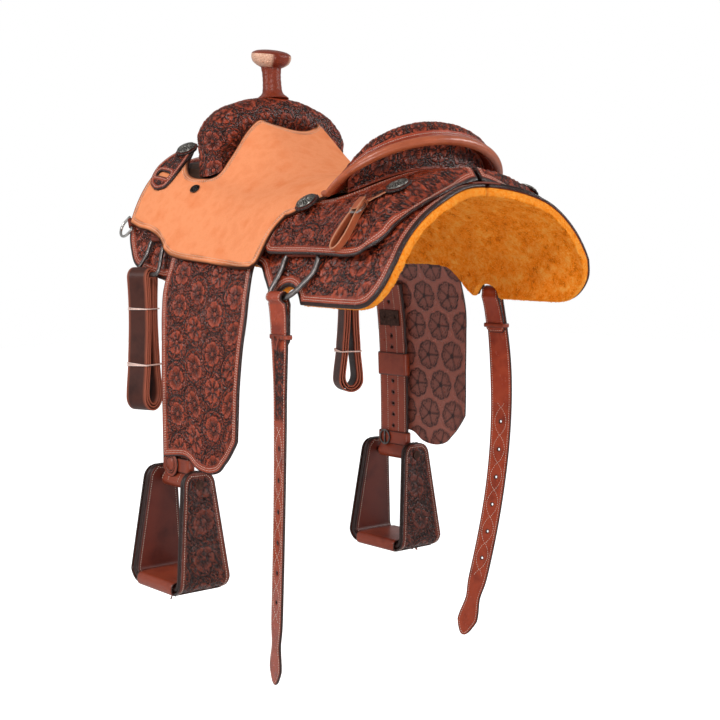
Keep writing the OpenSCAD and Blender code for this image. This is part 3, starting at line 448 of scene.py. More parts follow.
def make_mesh(name, verts, quads, tris=None, attributes=None):
    """A smooth mesh from points in millimetres, with numbers stored on its points."""
    mesh = bpy.data.meshes.new(name)
    quads = np.asarray(quads, int).reshape(-1, 4)
    tris = NO_TRIS if tris is None else np.asarray(tris, int).reshape(-1, 3)
    loops = np.concatenate([quads.ravel(), tris.ravel()])
    starts = np.concatenate([np.arange(len(quads)) * 4, len(quads) * 4 + np.arange(len(tris)) * 3])
    mesh.vertices.add(len(verts))
    mesh.vertices.foreach_set("co", (np.asarray(verts, float) * MM).ravel())
    mesh.loops.add(len(loops))
    mesh.loops.foreach_set("vertex_index", loops)
    mesh.polygons.add(len(starts))
    mesh.polygons.foreach_set("loop_start", starts)
    mesh.update(calc_edges=True)
    for key, values in (attributes or {}).items():
        mesh.attributes.new(key, "FLOAT", "POINT").data.foreach_set("value",
                                                                    np.asarray(values, float).ravel())
    mesh.shade_smooth()
    return mesh


def add_piece(mesh, body, material, replaces=(), slot=None):
    """One visible piece that rides on a body, with the nodes it stands for; its material slot is not used."""
    piece = bpy.data.objects.new(mesh.name, mesh)
    bpy.context.scene.collection.objects.link(piece)
    if material is not None:
        mesh.materials.clear()
        mesh.materials.append(material)
    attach(piece, body)
    if replaces:
        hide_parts(*replaces)
    return piece


def flipped(verts, quads, tris):
    """The mirror image across the centre line, with its faces still outwards."""
    other = np.array(verts, float)
    other[:, 0] *= -1
    return other, np.asarray(quads)[:, ::-1], np.asarray(tris)[:, ::-1]


def border_loop(n, m):
    """Numbers of a grid's border points, once round."""
    g = np.arange(n * m).reshape(n, m)
    return np.concatenate([g[0, :-1], g[:-1, -1], g[-1, :0:-1], g[:0:-1, 0]])


def inner_loop(n, m):
    """Numbers of the points one step inside each of a grid's border points."""
    g = np.arange(n * m).reshape(n, m)
    i = np.clip(np.arange(n), 1, n - 2)
    j = np.clip(np.arange(m), 1, m - 2)
    g = g[np.ix_(i, j)]
    return np.concatenate([g[0, :-1], g[:-1, -1], g[-1, :0:-1], g[:0:-1, 0]])


# Rings round a cut edge: depth down it, and how far it is rounded out there, both as shares.
EDGE_RINGS = ((0.18, 0.75), (0.5, 1.0), (0.82, 0.75))


def slab(top, under, coarse=4, bulge=0.22):
    """A closed leather sheet: a fine top grid, rounded cut edges and a coarser flesh side.
    Returns points, quads, tris, and the counts of top and edge points."""
    n, m = top.shape[:2]
    cn, cm = (n - 1) // coarse + 1, (m - 1) // coarse + 1
    small = under[::coarse, ::coarse]
    verts = [top.reshape(-1, 3)]
    ring, inside = border_loop(n, m), inner_loop(n, m)
    flat = top.reshape(-1, 3)
    low = under.reshape(-1, 3)
    out = flat[ring] - flat[inside]
    out /= np.linalg.norm(out, axis=1)[:, None] + 1e-9
    thick = np.linalg.norm(flat[ring] - low[ring], axis=1)[:, None]
    base = n * m
    k = len(ring)
    loops = [ring]
    for depth, share in EDGE_RINGS:
        verts.append(flat[ring] * (1 - depth) + low[ring] * depth + out * thick * bulge * share)
        loops.append(base + np.arange(k))
        base += k
    verts.append(small.reshape(-1, 3))
    g = np.arange(n * m).reshape(n, m)
    top_quads = np.stack([g[:-1, :-1], g[1:, :-1], g[1:, 1:], g[:-1, 1:]], -1).reshape(-1, 4)
    h = base + np.arange(cn * cm).reshape(cn, cm)
    low_quads = np.stack([h[:-1, :-1], h[:-1, 1:], h[1:, 1:], h[1:, :-1]], -1).reshape(-1, 4)
    quads = [top_quads, low_quads]
    for a, b in zip(loops[:-1], loops[1:]):
        quads.append(np.stack([a, np.roll(a, -1), np.roll(b, -1), b], -1))
    low_ring = base + border_loop(cn, cm)
    last = loops[-1]
    q = len(low_ring)
    owner = (np.arange(k) + coarse // 2) // coarse % q
    tris = []
    nxt = np.roll(last, -1)
    tris.append(np.stack([last, nxt, low_ring[owner]], -1))
    change = np.nonzero(owner != np.roll(owner, -1))[0]
    tris.append(np.stack([nxt[change], low_ring[np.roll(owner, -1)[change]], low_ring[owner[change]]], -1))
    return np.concatenate(verts), np.concatenate(quads), np.concatenate(tris), n * m, base


CHUNK = 4000    # points measured at a time


def edge_distance(grid, edge=None):
    """How far each point of a grid lies from the grid's border, or from other edge points, in mm."""
    n, m = grid.shape[:2]
    flat = grid.reshape(-1, 3)
    border = flat[border_loop(n, m)] if edge is None else edge
    far = np.empty(len(flat))
    for i in range(0, len(flat), CHUNK):
        part = flat[i:i + CHUNK]
        square = (part ** 2).sum(1)[:, None] + (border ** 2).sum(1) - 2 * part @ border.T
        far[i:i + CHUNK] = np.sqrt(np.maximum(0, square).min(1))
    return far.reshape(n, m)


def flat_places(grid):
    """Flat coordinates of a grid's points: along its rows and across them, in mm."""
    across = np.concatenate([np.zeros((grid.shape[0], 1)),
                             np.cumsum(np.linalg.norm(np.diff(grid, axis=1), axis=2), axis=1)], axis=1)
    along = np.concatenate([np.zeros((1, grid.shape[1])),
                            np.cumsum(np.linalg.norm(np.diff(grid, axis=0), axis=2), axis=0)], axis=0)
    middle = along[:, grid.shape[1] // 2][:, None]
    return np.broadcast_to(middle, across.shape), across


def contour(field, level, points, normals):
    """Lines on a grid where its field crosses a level: lists of points and of normals there."""
    n, m = field.shape
    above = field > level
    cross = {}
    for di, dj in ((1, 0), (0, 1)):
        a, b = field[:n - di, :m - dj], field[di:, dj:]
        i, j = np.nonzero(above[:n - di, :m - dj] != above[di:, dj:])
        f = (level - a[i, j]) / (b[i, j] - a[i, j])
        p = points[i, j] * (1 - f)[:, None] + points[i + di, j + dj] * f[:, None]
        w = normals[i, j] * (1 - f)[:, None] + normals[i + di, j + dj] * f[:, None]
        for row, column, point, normal in zip(i.tolist(), j.tolist(), p, w):
            cross[(row, column, di)] = (point, normal)
    links = {}
    for (i, j, di) in cross:
        cells = [(i, j), (i, j - 1)] if di else [(i, j), (i - 1, j)]
        for ci, cj in cells:
            if 0 <= ci < n - 1 and 0 <= cj < m - 1:
                links.setdefault((ci, cj), []).append((i, j, di))
    beside = {}
    for keys in links.values():
        if len(keys) >= 2:
            for a, b in zip(keys[::2], keys[1::2]):
                beside.setdefault(a, []).append(b)
                beside.setdefault(b, []).append(a)
    lines, seen = [], set()
    for start in sorted(beside, key=lambda key: (len(beside[key]), key)):
        if start in seen:
            continue
        line, here = [], start
        while here is not None:
            seen.add(here)
            line.append(here)
            here = next((k for k in beside[here] if k not in seen), None)
        if len(line) > 4:
            if start in beside[line[-1]] and len(line) > 8:
                line.append(start)
            lines.append(tuple(np.array([cross[k][pick] for k in line]) for pick in (0, 1)))
    return lines


def grid_normals(grid):
    """Unit normals at a grid's points."""
    du = np.gradient(grid, axis=0)
    dv = np.gradient(grid, axis=1)
    normal = np.cross(du, dv)
    return normal / (np.linalg.norm(normal, axis=2)[..., None] + 1e-9)


# ---- Leather pieces -------------------------------------------------------------------
SEAMS = {}    # body name -> stitch lines on it: (points, normals) in millimetres


def leather_sheet(name, place, thick, carving=None, depth=1.5, rows=(5.5, 9.0), border=12.5, edge_wide=2.6,
                  coarse=4, sides=("near", "off"), bodies=None, material=None, nodes=None, slot=None,
                  detail=None, seam_edge=None):
    """A leather piece on a surface. place(o) gives its grid of points at height o over its flesh side.
    Stitch rows run at the given distances from the edge, and the carving starts inside its border."""
    face = place(thick)
    far = edge_distance(face, None if seam_edge is None else seam_edge(face))
    tool, matted = np.ones(far.shape), np.zeros(far.shape)
    if carving is not None:
        u, v = flat_places(face)
        inside = ease((far - border) / 1.2)
        tool = 1 - inside * (1 - carving.read(carving.height, u, v))
        matted = inside * carving.read(carving.matted, u, v)
        tool -= 0.55 * np.exp(-((far - border + 0.6) / 0.7) ** 2)
    for row in rows:
        tool -= 0.22 * np.exp(-((far - row) / 0.9) ** 2)
    if detail is not None:
        tool, matted = detail(face, far, tool, matted)
    high = thick - depth * (1 - np.clip(tool, 0, 1)) - 0.9 * np.exp(-far / 1.3)
    top = place(high)
    normals, under = grid_normals(top), place(0.0)
    middle = far.shape[0] // 2, far.shape[1] // 2
    if normals[middle] @ (place(thick + 1.0) - face)[middle] < 0:
        top, normals, tool, matted, far, under = (a[::-1] for a in (top, -normals, tool, matted, far, under))
    verts, quads, tris, n_top, n_edge = slab(top, under, coarse)
    rest = len(verts) - n_top
    rim = ease((edge_wide - far) / 0.9).ravel()
    marks = {"tool": np.concatenate([np.clip(tool, 0, 1).ravel(), np.ones(rest)]),
             "mat": np.concatenate([matted.ravel(), np.zeros(rest)]),
             "rim": np.concatenate([rim, np.ones(n_edge - n_top), np.zeros(len(verts) - n_edge)]),
             "back": np.concatenate([np.zeros(n_edge), np.ones(len(verts) - n_edge)])}
    made = []
    for side in sides:
        v, q, t = (verts, quads, tris) if side == "near" else flipped(verts, quads, tris)
        mesh = make_mesh(f"{name}_{side}" if len(sides) > 1 else name, v, q, t, marks)
        body = (bodies or {}).get(side, "saddle")
        made.append(add_piece(mesh, body, material, (nodes or {}).get(side, ()), slot))
        for row in rows:
            for points, up in contour(far, row, top, normals):
                flip = 1.0 if side == "near" else CAST
                SEAMS.setdefault(body, []).append((points * flip, up * flip))
    return made


# Outline rows, as in the part's source: [place along the saddle, inner angle, outer angle].
SKIRT_ROWS = [[352, 38, 62], [340, 26, 67.5], [326, 20, 72], [307, 18, 77], [281, 16, 79.5], [240, 15, 81],
              [195, 15, 82], [155, 15, 77], [110, 15, 71], [0, 15, 69], [-66, 15, 71], [-92, 14, 78],
              [-114, 13, 86], [-140, 12, 89], [-210, 8, 89.6], [-290, 2, 90], [-330, 1.2, 89.6],
              [-356, 1.2, 86], [-378, 1.2, 78], [-388, 1.2, 68]]
NOTCH_Y, NOTCH_Z, NOTCH_R = -157.0, -168.0, 32.0
JOCKEY_ROWS = [[-82, -82, 50.5, 66.2], [-128, -128, 49, 66.6], [-168, -168, 47, 66.6],
               [-205, -205, 37.5, 66.7], [-233, -228, 31, 66.9], [-251, -255, 21, 67.2],
               [-263, -290, 1, 67.6], [-300, -318, 1, 66.5], [-326, -334, 1, 63.5], [-346, -350, 1, 59.5]]


def skirt_plan(count, across):
    """Places (y, t) of a skirt's grid, with the notch for the rear dee cut from its lower edge."""
    at = spread_rows(SKIRT_ROWS, count, (1.0, 0.6, 3.2))
    y, inner, outer = through(SKIRT_ROWS, at).T
    inner = np.maximum(inner, 1.2)
    span = np.sqrt(np.maximum(0.0, NOTCH_R ** 2 - (y - NOTCH_Y) ** 2))
    top = np.where(span > 0, NOTCH_Z + span, -1000.0)
    cut = np.degrees(np.arccos(np.clip((top - ARCH_Z) / rise_at(y), -1, 1)))
    outer = np.where(top > ARCH_Z - 1, np.minimum(outer, cut), outer)
    f = np.linspace(0, 1, across)
    t = blend_of(inner[:, None], outer[:, None], f[None, :])
    y = y[:, None] + 26 * (1 - ease(t / 34)) * ease((-300 - y[:, None]) / 60)
    return y, t


def make_skirts(material, n, m):
    """The skirts, one hide on each side from pommel to cantle."""
    y, t = skirt_plan(n, m)
    carving = Carving(1050, 420, 11, pitch=62)
    leather_sheet("skirt_leather", lambda o: on_arch(y, t, o - 5.0), 5.0, carving, depth=2.8,
                         rows=(8.6, 12.4), border=16.5, edge_wide=6.2, material=material,
                         nodes={"near": ("skirt_near",), "off": ("skirt_off",)}, slot="tooled_leather")


def make_rear_jockeys(material, n, m):
    """The jockeys behind the cantle, over the skirts."""
    at = spread_rows(JOCKEY_ROWS, n, (1.0, 1.0, 3.5, 3.5))
    y0, y1, t0, t1 = through(JOCKEY_ROWS, at).T
    t0 = t0 - 9.0 * ease((y0 + 215) / 60)    # its inner edge runs on under the seat
    f = np.linspace(0, 1, m)[None, :]
    corner = 5.0 * np.clip((at - 7.6) / 1.4, 0, 1) ** 3 + 4.0 * np.clip(1 - at / 0.6, 0, 1) ** 3
    t = blend_of(t0[:, None], (t1 - corner)[:, None], f)
    bow = -26 * np.sin(math.pi * f) ** 2 * (np.clip((at[:, None] - 7) / 2.0, 0, 1) ** 2)
    y = blend_of(y0[:, None], y1[:, None], f) + bow
    carving = Carving(480, 420, 5, pitch=58)
    leather_sheet("rear_jockey", lambda o: on_arch(y, t, jockey_under(t, y) + o), JOCKEY_T, carving,
                         depth=2.5, rows=(6.0, 9.5), border=13.5, edge_wide=3.6, material=material,
                         nodes={"near": ("rear_jockeys",)}, slot="tooled_leather")


def masked_slab(top, under, keep, bulge=0.25):
    """A closed sheet over the kept cells of a grid, with rounded edges. Returns points, quads, the grid
    number of each point, the number of grid points, and the grid numbers of the border."""
    n, m = top.shape[:2]
    g = np.arange(n * m).reshape(n, m)
    a, b, c, d = g[:-1, :-1][keep], g[:-1, 1:][keep], g[1:, 1:][keep], g[1:, :-1][keep]
    pad = np.pad(keep, 1)
    size = n * m
    quads = [np.stack([a, d, c, b], -1), np.stack([a, b, c, d], -1) + size]
    flat, low = top.reshape(-1, 3), under.reshape(-1, 3)
    centre = (flat[a] + flat[b] + flat[c] + flat[d]) / 4
    out = np.zeros_like(flat)
    walls = []
    for gone, p, q in ((~pad[:-2, 1:-1][keep], a, b), (~pad[1:-1, 2:][keep], b, c),
                       (~pad[2:, 1:-1][keep], c, d), (~pad[1:-1, :-2][keep], d, a)):
        p, q = p[gone], q[gone]
        away = (flat[p] + flat[q]) / 2 - centre[gone]
        away /= np.linalg.norm(away, axis=1)[:, None]
        np.add.at(out, p, away)
        np.add.at(out, q, away)
        walls.append(np.stack([p, q], -1))
    walls = np.concatenate(walls)
    border = np.unique(walls)
    out = out[border] / (np.linalg.norm(out[border], axis=1)[:, None] + 1e-9)
    thick = np.linalg.norm(flat[border] - low[border], axis=1)[:, None]
    number = np.full(size, -1)
    verts = [flat, low]
    base = 2 * size
    above = walls
    for depth, share in EDGE_RINGS:
        verts.append(flat[border] * (1 - depth) + low[border] * depth + out * thick * bulge * share)
        number[border] = base + np.arange(len(border))
        below = number[walls]
        quads.append(np.stack([above[:, 0], above[:, 1], below[:, 1], below[:, 0]], -1))
        above = below
        base += len(border)
    below = walls + size
    quads.append(np.stack([above[:, 0], above[:, 1], below[:, 1], below[:, 0]], -1))
    verts, quads = np.concatenate(verts), np.concatenate(quads)
    used = np.unique(quads)
    renumber = np.full(len(verts), -1)
    renumber[used] = np.arange(len(used))
    return verts[used], renumber[quads], used, size, border


# Rows from the back: [y at the centre, at the split and at the outer edge, split angle, outer angle].
SEAT_ROWS = [[-231, -179, -150, 28.2, 72], [-222, -178, -136, 34, 73], [-198, -174, -120, 39.2, 74],
             [-165, -146, -98, 44, 74], [-132, -106, -74, 49, 74.3], [-88, -62, -40, 44, 74.6],
             [-44, -20, 0, 38, 73.6], [0, 18, 50, 31, 72.5], [38, 52, 95, 24, 72.5], [70, 90, 130, 17, 72.7],
             [101, 127, 150, 12.7, 72.6], [125, 141, 165, 20.5, 72.3], [135, 149, 177, 27.5, 71.5],
             [145, 159, 188, 34.5, 70.5], [170, 185, 198, 38.3, 69], [200, 214, 218, 38.5, 66.5],
             [225, 240, 250, 34.5, 65], [250, 263, 285, 28, 64.6], [270, 285, 320, 22.5, 62.9]]
WING_START, EAR_ROW, SEAT_LAST = 4, 10, 18    # rows where the jockeys begin, the ears end and the seat ends
SEAT_SEAMS = (6.5, 10.0)    # mm from the edge


def make_seat(material, per_row, wing, centre):
    """The rough-out seat with its side and front jockeys, cut from one hide."""
    at = np.arange(SEAT_LAST * per_row + 1) / per_row
    rows = through(SEAT_ROWS, at)
    y0, y1, y2, t1, t2 = (rows[:, k][:, None] for k in range(5))
    f = np.linspace(0, 1, centre + 1)[None, :]
    power = np.maximum(2, 3.4 - at / 3)[:, None]
    mid_y, mid_t = y1 + (y0 - y1) * (1 - f ** power), t1 * f
    g = np.linspace(0, 1, wing + 1)[None, :]
    back = np.clip(1 - (at - WING_START), 0, 1)[:, None]
    front = np.clip(at - (SEAT_LAST - 1), 0, 1)[:, None]
    bow = back * (-2 - 74.8 * g ** 3 * (1 - g) + 14 * np.sin(math.pi * g) * (1 - g))
    bow = bow + front * 14 * np.sin(math.pi * g ** 1.4) * g
    side_y, side_t = blend_of(y1, y2, g) + bow, blend_of(t1, t2, g)
    half_y = np.concatenate([mid_y, side_y[:, 1:]], axis=1)
    half_t = np.concatenate([mid_t, side_t[:, 1:]], axis=1)

    def place(o):
        half = seat_point(half_y, half_t, o)
        other = half[:, :0:-1] * np.array([-1.0, 1.0, 1.0])
        return np.concatenate([other, half], axis=1)

    cells = wing + centre
    column = np.abs(np.arange(2 * cells) - cells + 0.5)
    row = (np.arange(SEAT_LAST * per_row) + 0.5) / per_row
    keep = np.where(column[None, :] > centre, row[:, None] > WING_START, row[:, None] < EAR_ROW)
    face = place(JOCKEY_T)
    border = masked_slab(face, place(0.0), keep)[4]
    far = edge_distance(face, face.reshape(-1, 3)[border])
    groove = sum(np.exp(-((far - r) / 1.2) ** 2) for r in SEAT_SEAMS)
    under = place(0.0)
    top = under + (face - under) * (1 - (0.07 * groove + 0.2 * np.exp(-far / 1.5))[..., None])
    normals = grid_normals(top)
    verts, quads, used, size, _ = masked_slab(top, under, keep)
    tool = np.ones(size * 2)
    tool[:size] -= 0.5 * groove.ravel()
    rim = np.concatenate([ease((4.2 - far) / 1.0).ravel(), np.zeros(size)])
    marks = {"rim": np.ones(len(verts)), "tool": np.ones(len(verts)), "mat": np.zeros(len(verts))}
    flat = used < 2 * size
    marks["rim"][flat] = rim[used[flat]]
    marks["tool"][flat] = tool[used[flat]]
    if normals[len(at) // 2, cells, 2] < 0:
        normals = -normals
    quads = outward(verts, quads, np.zeros((0, 3), int))[0]
    add_piece(make_mesh("roughout_seat", verts, quads, None, marks), "saddle", material, ("seat_leather",),
              "roughout_leather")
    dead = np.ones(far.shape, bool)
    for a, b in CORNERS:
        dead[a, b] &= ~keep
    field = np.where(dead, -1.0, far)
    for r in SEAT_SEAMS:
        SEAMS.setdefault("saddle", []).extend(contour(field, r, top, normals))


# ---- Fenders --------------------------------------------------------------------------
# The hinge's height, the leather's thickness, the room over the bars, how far the fender bows out, and
# the height from which it hangs free.
HINGE_Z, FENDER_T, CHANNEL, BOW_OUT, FREE_Z = -104.0, 5.0, 8.0, 31.0, -112.0
FENDER_REAR = [[0, -62], [119, -66], [144, -69], [191, -72], [240, -68], [302, -64], [391, -61], [430, -50]]
FENDER_FRONT = [[0, 172], [112, 173], [150, 175], [180, 171], [235, 163], [303, 158], [372, 154], [433, 152]]
FENDER_FOOT = [[0, 62], [0.08, 30], [0.18, 9], [0.3, 1], [0.42, 1], [0.52, 6], [0.62, 18], [0.72, 21],
               [1, 14]]


def smooth_table(table, x):
    """A smooth line through [x, value] rows, read at x."""
    xs, ys = np.array(table, float).T
    at = np.interp(x, xs, np.arange(len(xs)))
    return through(ys, at.ravel())[:, 0].reshape(np.shape(at))


def fender_x(y, z):
    """How far out a fender's middle hangs: round the arch under its hinge, then bowing out."""
    c = (np.maximum(z, FREE_Z) - ARCH_Z) / (rise_at(y) + CHANNEL)
    return (-(ARCH_HALF + CHANNEL) * np.sqrt(1 - c * c)
            - BOW_OUT * (1 - np.exp(-np.maximum(0, FREE_Z - z) / 88)))


def fender_plan(n, m):
    f = np.linspace(0, 1, m)[None, :]
    head = HINGE_Z + blend_of(12, 26, f)
    foot = HINGE_Z - 345 + smooth_table(FENDER_FOOT, f)
    z = blend_of(head, foot, np.linspace(0, 1, n)[:, None])
    return blend_of(smooth_table(FENDER_REAR, -z), smooth_table(FENDER_FRONT, -z), f), z


def fender_place(y, z):
    """Places on a fender at a height over its flesh side."""
    return lambda o: np.stack([fender_x(y, z) - (o - FENDER_T / 2), y, z], axis=-1)


def medallions(y, z):
    """Faint scalloped imprints on a fender's flesh side: 1 where the flesh is pressed darker."""
    pitch, gap = 64.0, 64.0 * 0.87
    row = np.round(z / gap)
    cy = (np.round(y / pitch - 0.5 * (row % 2)) + 0.5 * (row % 2)) * pitch
    dy, dz = y - cy, z - row * gap
    r, a = np.hypot(dy, dz), np.arctan2(dz, dy)
    rim = 27.0 * (0.86 + 0.14 * np.abs(np.cos(4 * a)) ** 0.6) * (1 + 0.03 * np.cos(40 * a))
    split = np.abs(np.arcsin(np.clip(np.cos(2.5 * a), -1, 1))) / 2.5 * r
    veins = ease(1.5 - split / 1.6) * (r < rim * 0.92)
    ring = ease(1.6 - np.abs(r - rim) / 1.7)
    inner = 0.5 * ease(1.4 - np.abs(r - rim * 0.8) / 1.5) * (np.abs(np.cos(10 * a)) > 0.5)
    return np.clip(0.28 * (r < rim) + veins * 0.6 + ring * 0.8 + inner + (r < 4.5), 0, 1)


def make_fenders(material, n, m):
    """The fenders, carved outside and with faint medallions pressed into their flesh side."""
    y, z = fender_plan(n, m)
    carving = Carving(420, 300, 21, pitch=62)
    made = leather_sheet("fender_leather", fender_place(y, z), FENDER_T, carving, depth=2.7, rows=(6.0, 9.6),
                         border=13.0, edge_wide=3.0, coarse=2, material=material,
                         bodies={"near": "fender_near", "off": "fender_off"},
                         nodes={"near": ("fender_near",), "off": ("fender_off",)}, slot="tooled_leather")
    for piece in made:
        count = len(piece.data.vertices)
        co = np.empty(count * 3)
        piece.data.vertices.foreach_get("co", co)
        co = co.reshape(-1, 3) / MM
        back, marks = np.empty(count), np.empty(count)
        piece.data.attributes["back"].data.foreach_get("value", back)
        piece.data.attributes["mat"].data.foreach_get("value", marks)
        marks = np.where(back > 0.5, medallions(co[:, 1], co[:, 2]), marks)
        piece.data.attributes["mat"].data.foreach_set("value", marks)


# ---- Cantle ---------------------------------------------------------------------------
# The rim's half width, place and depth, its height at the centre, the roll's end angle, the binding's radius.
RIM_HALF, RIM_Y, RIM_DEPTH, RIM_TOP, ROLL_END, BIND_R = 176.0, -195.0, 90.0, 90.0, 96.0, 9.0
ROLL_SECTION = [[-7.2, 8], [-10, 20], [-16, 29], [-27, 35], [-40, 36], [-49, 31], [-48, 24], [-34, 16],
                [-20, 4], [-8.2, -3]]


def rim_point(a, r):
    """A place on the cantle's rim, a degrees round from its centre and r outside it."""
    a = np.radians(a)
    return (RIM_HALF + r) * np.sin(a), RIM_Y - (RIM_DEPTH + r) * np.cos(a)


def rim_height(a):
    return blend_of(6, RIM_TOP, np.maximum(0, np.cos(np.radians(a))))


def roll_scale(a):
    return ((0.55 + 0.45 * ease((ROLL_END - np.abs(a)) / 45))
            * (1 - 0.12 * np.maximum(0, np.cos(np.radians(a)))))


def closed_line(points, count):
    """A smooth closed line through points."""
    p = np.asarray(points, float)
    ring = np.vstack([p[-2:], p, p[:3]])
    return through(ring, 2 + np.linspace(0, len(p), count, endpoint=False))


DOME_STEPS = [share * math.pi / 2 for share in (0.35, 0.65, 0.88)]    # where a dome's three rings stand


def tube(rings, dome):
    """A closed solid through rings of points, with its two ends rounded over."""
    caps = []
    for ring, beside in ((rings[0], rings[1]), (rings[-1], rings[-2])):
        centre = ring.mean(0)
        ahead = centre - beside.mean(0)
        ahead /= np.linalg.norm(ahead)
        tip = ahead * np.linalg.norm(ring - centre, axis=1).min() * dome
        caps.append([centre + (ring - centre) * math.cos(a) + tip * math.sin(a) for a in DOME_STEPS])
        caps[-1].append(centre + tip)
    body = np.concatenate([np.array(caps[0][2::-1]), rings, np.array(caps[1][:3])])
    n, m = body.shape[:2]
    g = np.arange(n * m).reshape(n, m)
    nxt = np.roll(g, -1, axis=1)
    quads = np.stack([g[:-1], nxt[:-1], nxt[1:], g[1:]], -1).reshape(-1, 4)
    verts = np.concatenate([body.reshape(-1, 3), caps[0][3][None], caps[1][3][None]])
    tris = np.concatenate([np.stack([nxt[0], g[0], np.full(m, n * m)], -1),
                           np.stack([g[-1], nxt[-1], np.full(m, n * m + 1)], -1)])
    return verts, quads, tris


def capped(field, fill):
    """Marks for a tube's points: a field over its rings, and one value over its domes."""
    dome = np.full(3 * field.shape[1], fill)
    return np.concatenate([dome, field.ravel(), dome, [fill, fill]])


def ring_normals(rings):
    """Outward normals at the points of a tube's rings."""
    push = grid_normals(np.concatenate([rings, rings[:, :1]], axis=1))[:, :-1]
    turned_in = ((rings - rings.mean(axis=1, keepdims=True)) * push).sum() < 0
    return -push if turned_in else push


def outward(verts, quads, tris):
    """Turns faces round if the closed shape is inside out."""
    v = np.asarray(verts)
    fan = np.concatenate([quads[:, [0, 1, 2]], quads[:, [0, 2, 3]], tris])
    volume = np.einsum("ij,ij->i", v[fan[:, 0]], np.cross(v[fan[:, 1]], v[fan[:, 2]])).sum()
    return (quads, tris) if volume > 0 else (quads[:, ::-1], tris[:, ::-1])


def make_roll(tooled, smooth, n):
    """The carved roll along the cantle's top, and the binding round its edge."""
    a = np.linspace(-ROLL_END, ROLL_END, n)[:, None]
    section = closed_line(ROLL_SECTION, 104)
    x, y = rim_point(a, section[None, :, 0])
    rings = np.stack([x, y, rim_height(a) + section[None, :, 1] * roll_scale(a)], -1)
    along, around = lengths(rings[:, 20]), lengths(section)
    u, v = np.meshgrid(along, around, indexing="ij")
    face_from, face_to = around[3], around[57]
    seams = (face_from + 3.0, face_to - 2.5)
    inside = ease((v - face_from - 7) / 1.2) * ease((face_to - 6 - v) / 1.2)
    inside = inside * ease((u - 14) / 1.5) * ease((along[-1] - 14 - u) / 1.5)
    carving = Carving(620, 80, 3, pitch=44)
    tool = 1 - inside * (1 - carving.read(carving.height, u, v - face_from))
    matted = inside * carving.read(carving.matted, u, v - face_from)
    for row in seams:
        tool -= 0.25 * np.exp(-((v - row) / 0.9) ** 2)
    tool = np.clip(tool, 0, 1)
    push = ring_normals(rings)
    rings = rings - push * (1.8 * (1 - tool))[..., None]
    marks = {"tool": capped(tool, 1.0), "mat": capped(matted, 0.0), "rim": capped(tool * 0, 0.0)}
    solid("tooled_roll", *tube(rings, 0.35), marks, "saddle", tooled, ("cheyenne_roll",), "tooled_leather")
    for row in seams:
        k = int(np.argmin(np.abs(around - row)))
        SEAMS.setdefault("saddle", []).append((rings[3:-3, k], push[3:-3, k]))
    b = np.radians(np.linspace(0, 360, 28, endpoint=False))[None, :]
    a = np.linspace(-ROLL_END, ROLL_END, n // 2)[:, None]
    x, y = rim_point(a, BIND_R * np.cos(b) * 0.85)
    rings = np.stack([x, y, rim_height(a) + BIND_R * np.sin(b) * roll_scale(a)], -1)
    verts, quads, tris = tube(rings, 0.8)
    solid("roll_edge", verts, quads, tris, {"tool": np.ones(len(verts))}, "saddle", smooth, ("roll_binding",),
          "plain_leather")


ROLL_UNDER = [[-48, -34, -20, -9], [25, 16, 4, -3]]    # its underside: places across, and their heights


def make_cantle_back(material, n, m):
    """The carved leather on the cantle's back, from the skirts up to the roll."""
    a = np.linspace(-78, 78, n)[:, None]
    f = np.linspace(0, 1, m)[None, :]

    def place(o):
        r = -26.0 + o
        x, y = rim_point(a, r)
        reach = np.sqrt(np.maximum(0, 1 - (x / (ARCH_HALF + 26.7)) ** 2))
        low = ARCH_Z + (rise_at(y) + 26.7) * reach
        floor = rim_height(a) + np.interp(r, *ROLL_UNDER) * roll_scale(a)
        high = np.maximum(low + 3, floor - 2)
        return np.stack([x + 0 * f, y + 0 * f, blend_of(low, high, f)], -1)

    carving = Carving(520, 120, 7, pitch=54)
    leather_sheet("cantle_back", place, 3.0, carving, depth=1.3, rows=(), border=3.0, edge_wide=1.0,
                         sides=("near",), material=material, nodes={"near": ("cantle_cover",)},
                         slot="tooled_leather")


# ---- Fork and horn ----------------------------------------------------------------------
FORK_W, FORK_TOP, FORK_Y, FORK_D = 313.0, 195.0, 183.0, 76.0    # width, height, place and depth
# Outlines from the crown to a foot, as shares of half the width and of the height.
FORK_OUTER = [[0, 1], [0.27, 0.985], [0.53, 0.93], [0.74, 0.86], [0.9, 0.755], [0.99, 0.635], [0.985, 0.5],
              [0.975, 0.38], [0.975, 0.24]]
FORK_GULLET = [[0, 0.69], [0.17, 0.68], [0.33, 0.65], [0.45, 0.6], [0.53, 0.545], [0.57, 0.49], [0.59, 0.46],
               [0.6, 0.43], [0.62, 0.385]]


SWELL_SEAM = 13.0    # mm from the middle of the gullet's face


def squared(wave, power):
    """A cosine or sine whose circle is drawn out towards a square; a power of 1 leaves it round."""
    return np.sign(wave) * np.abs(wave) ** power


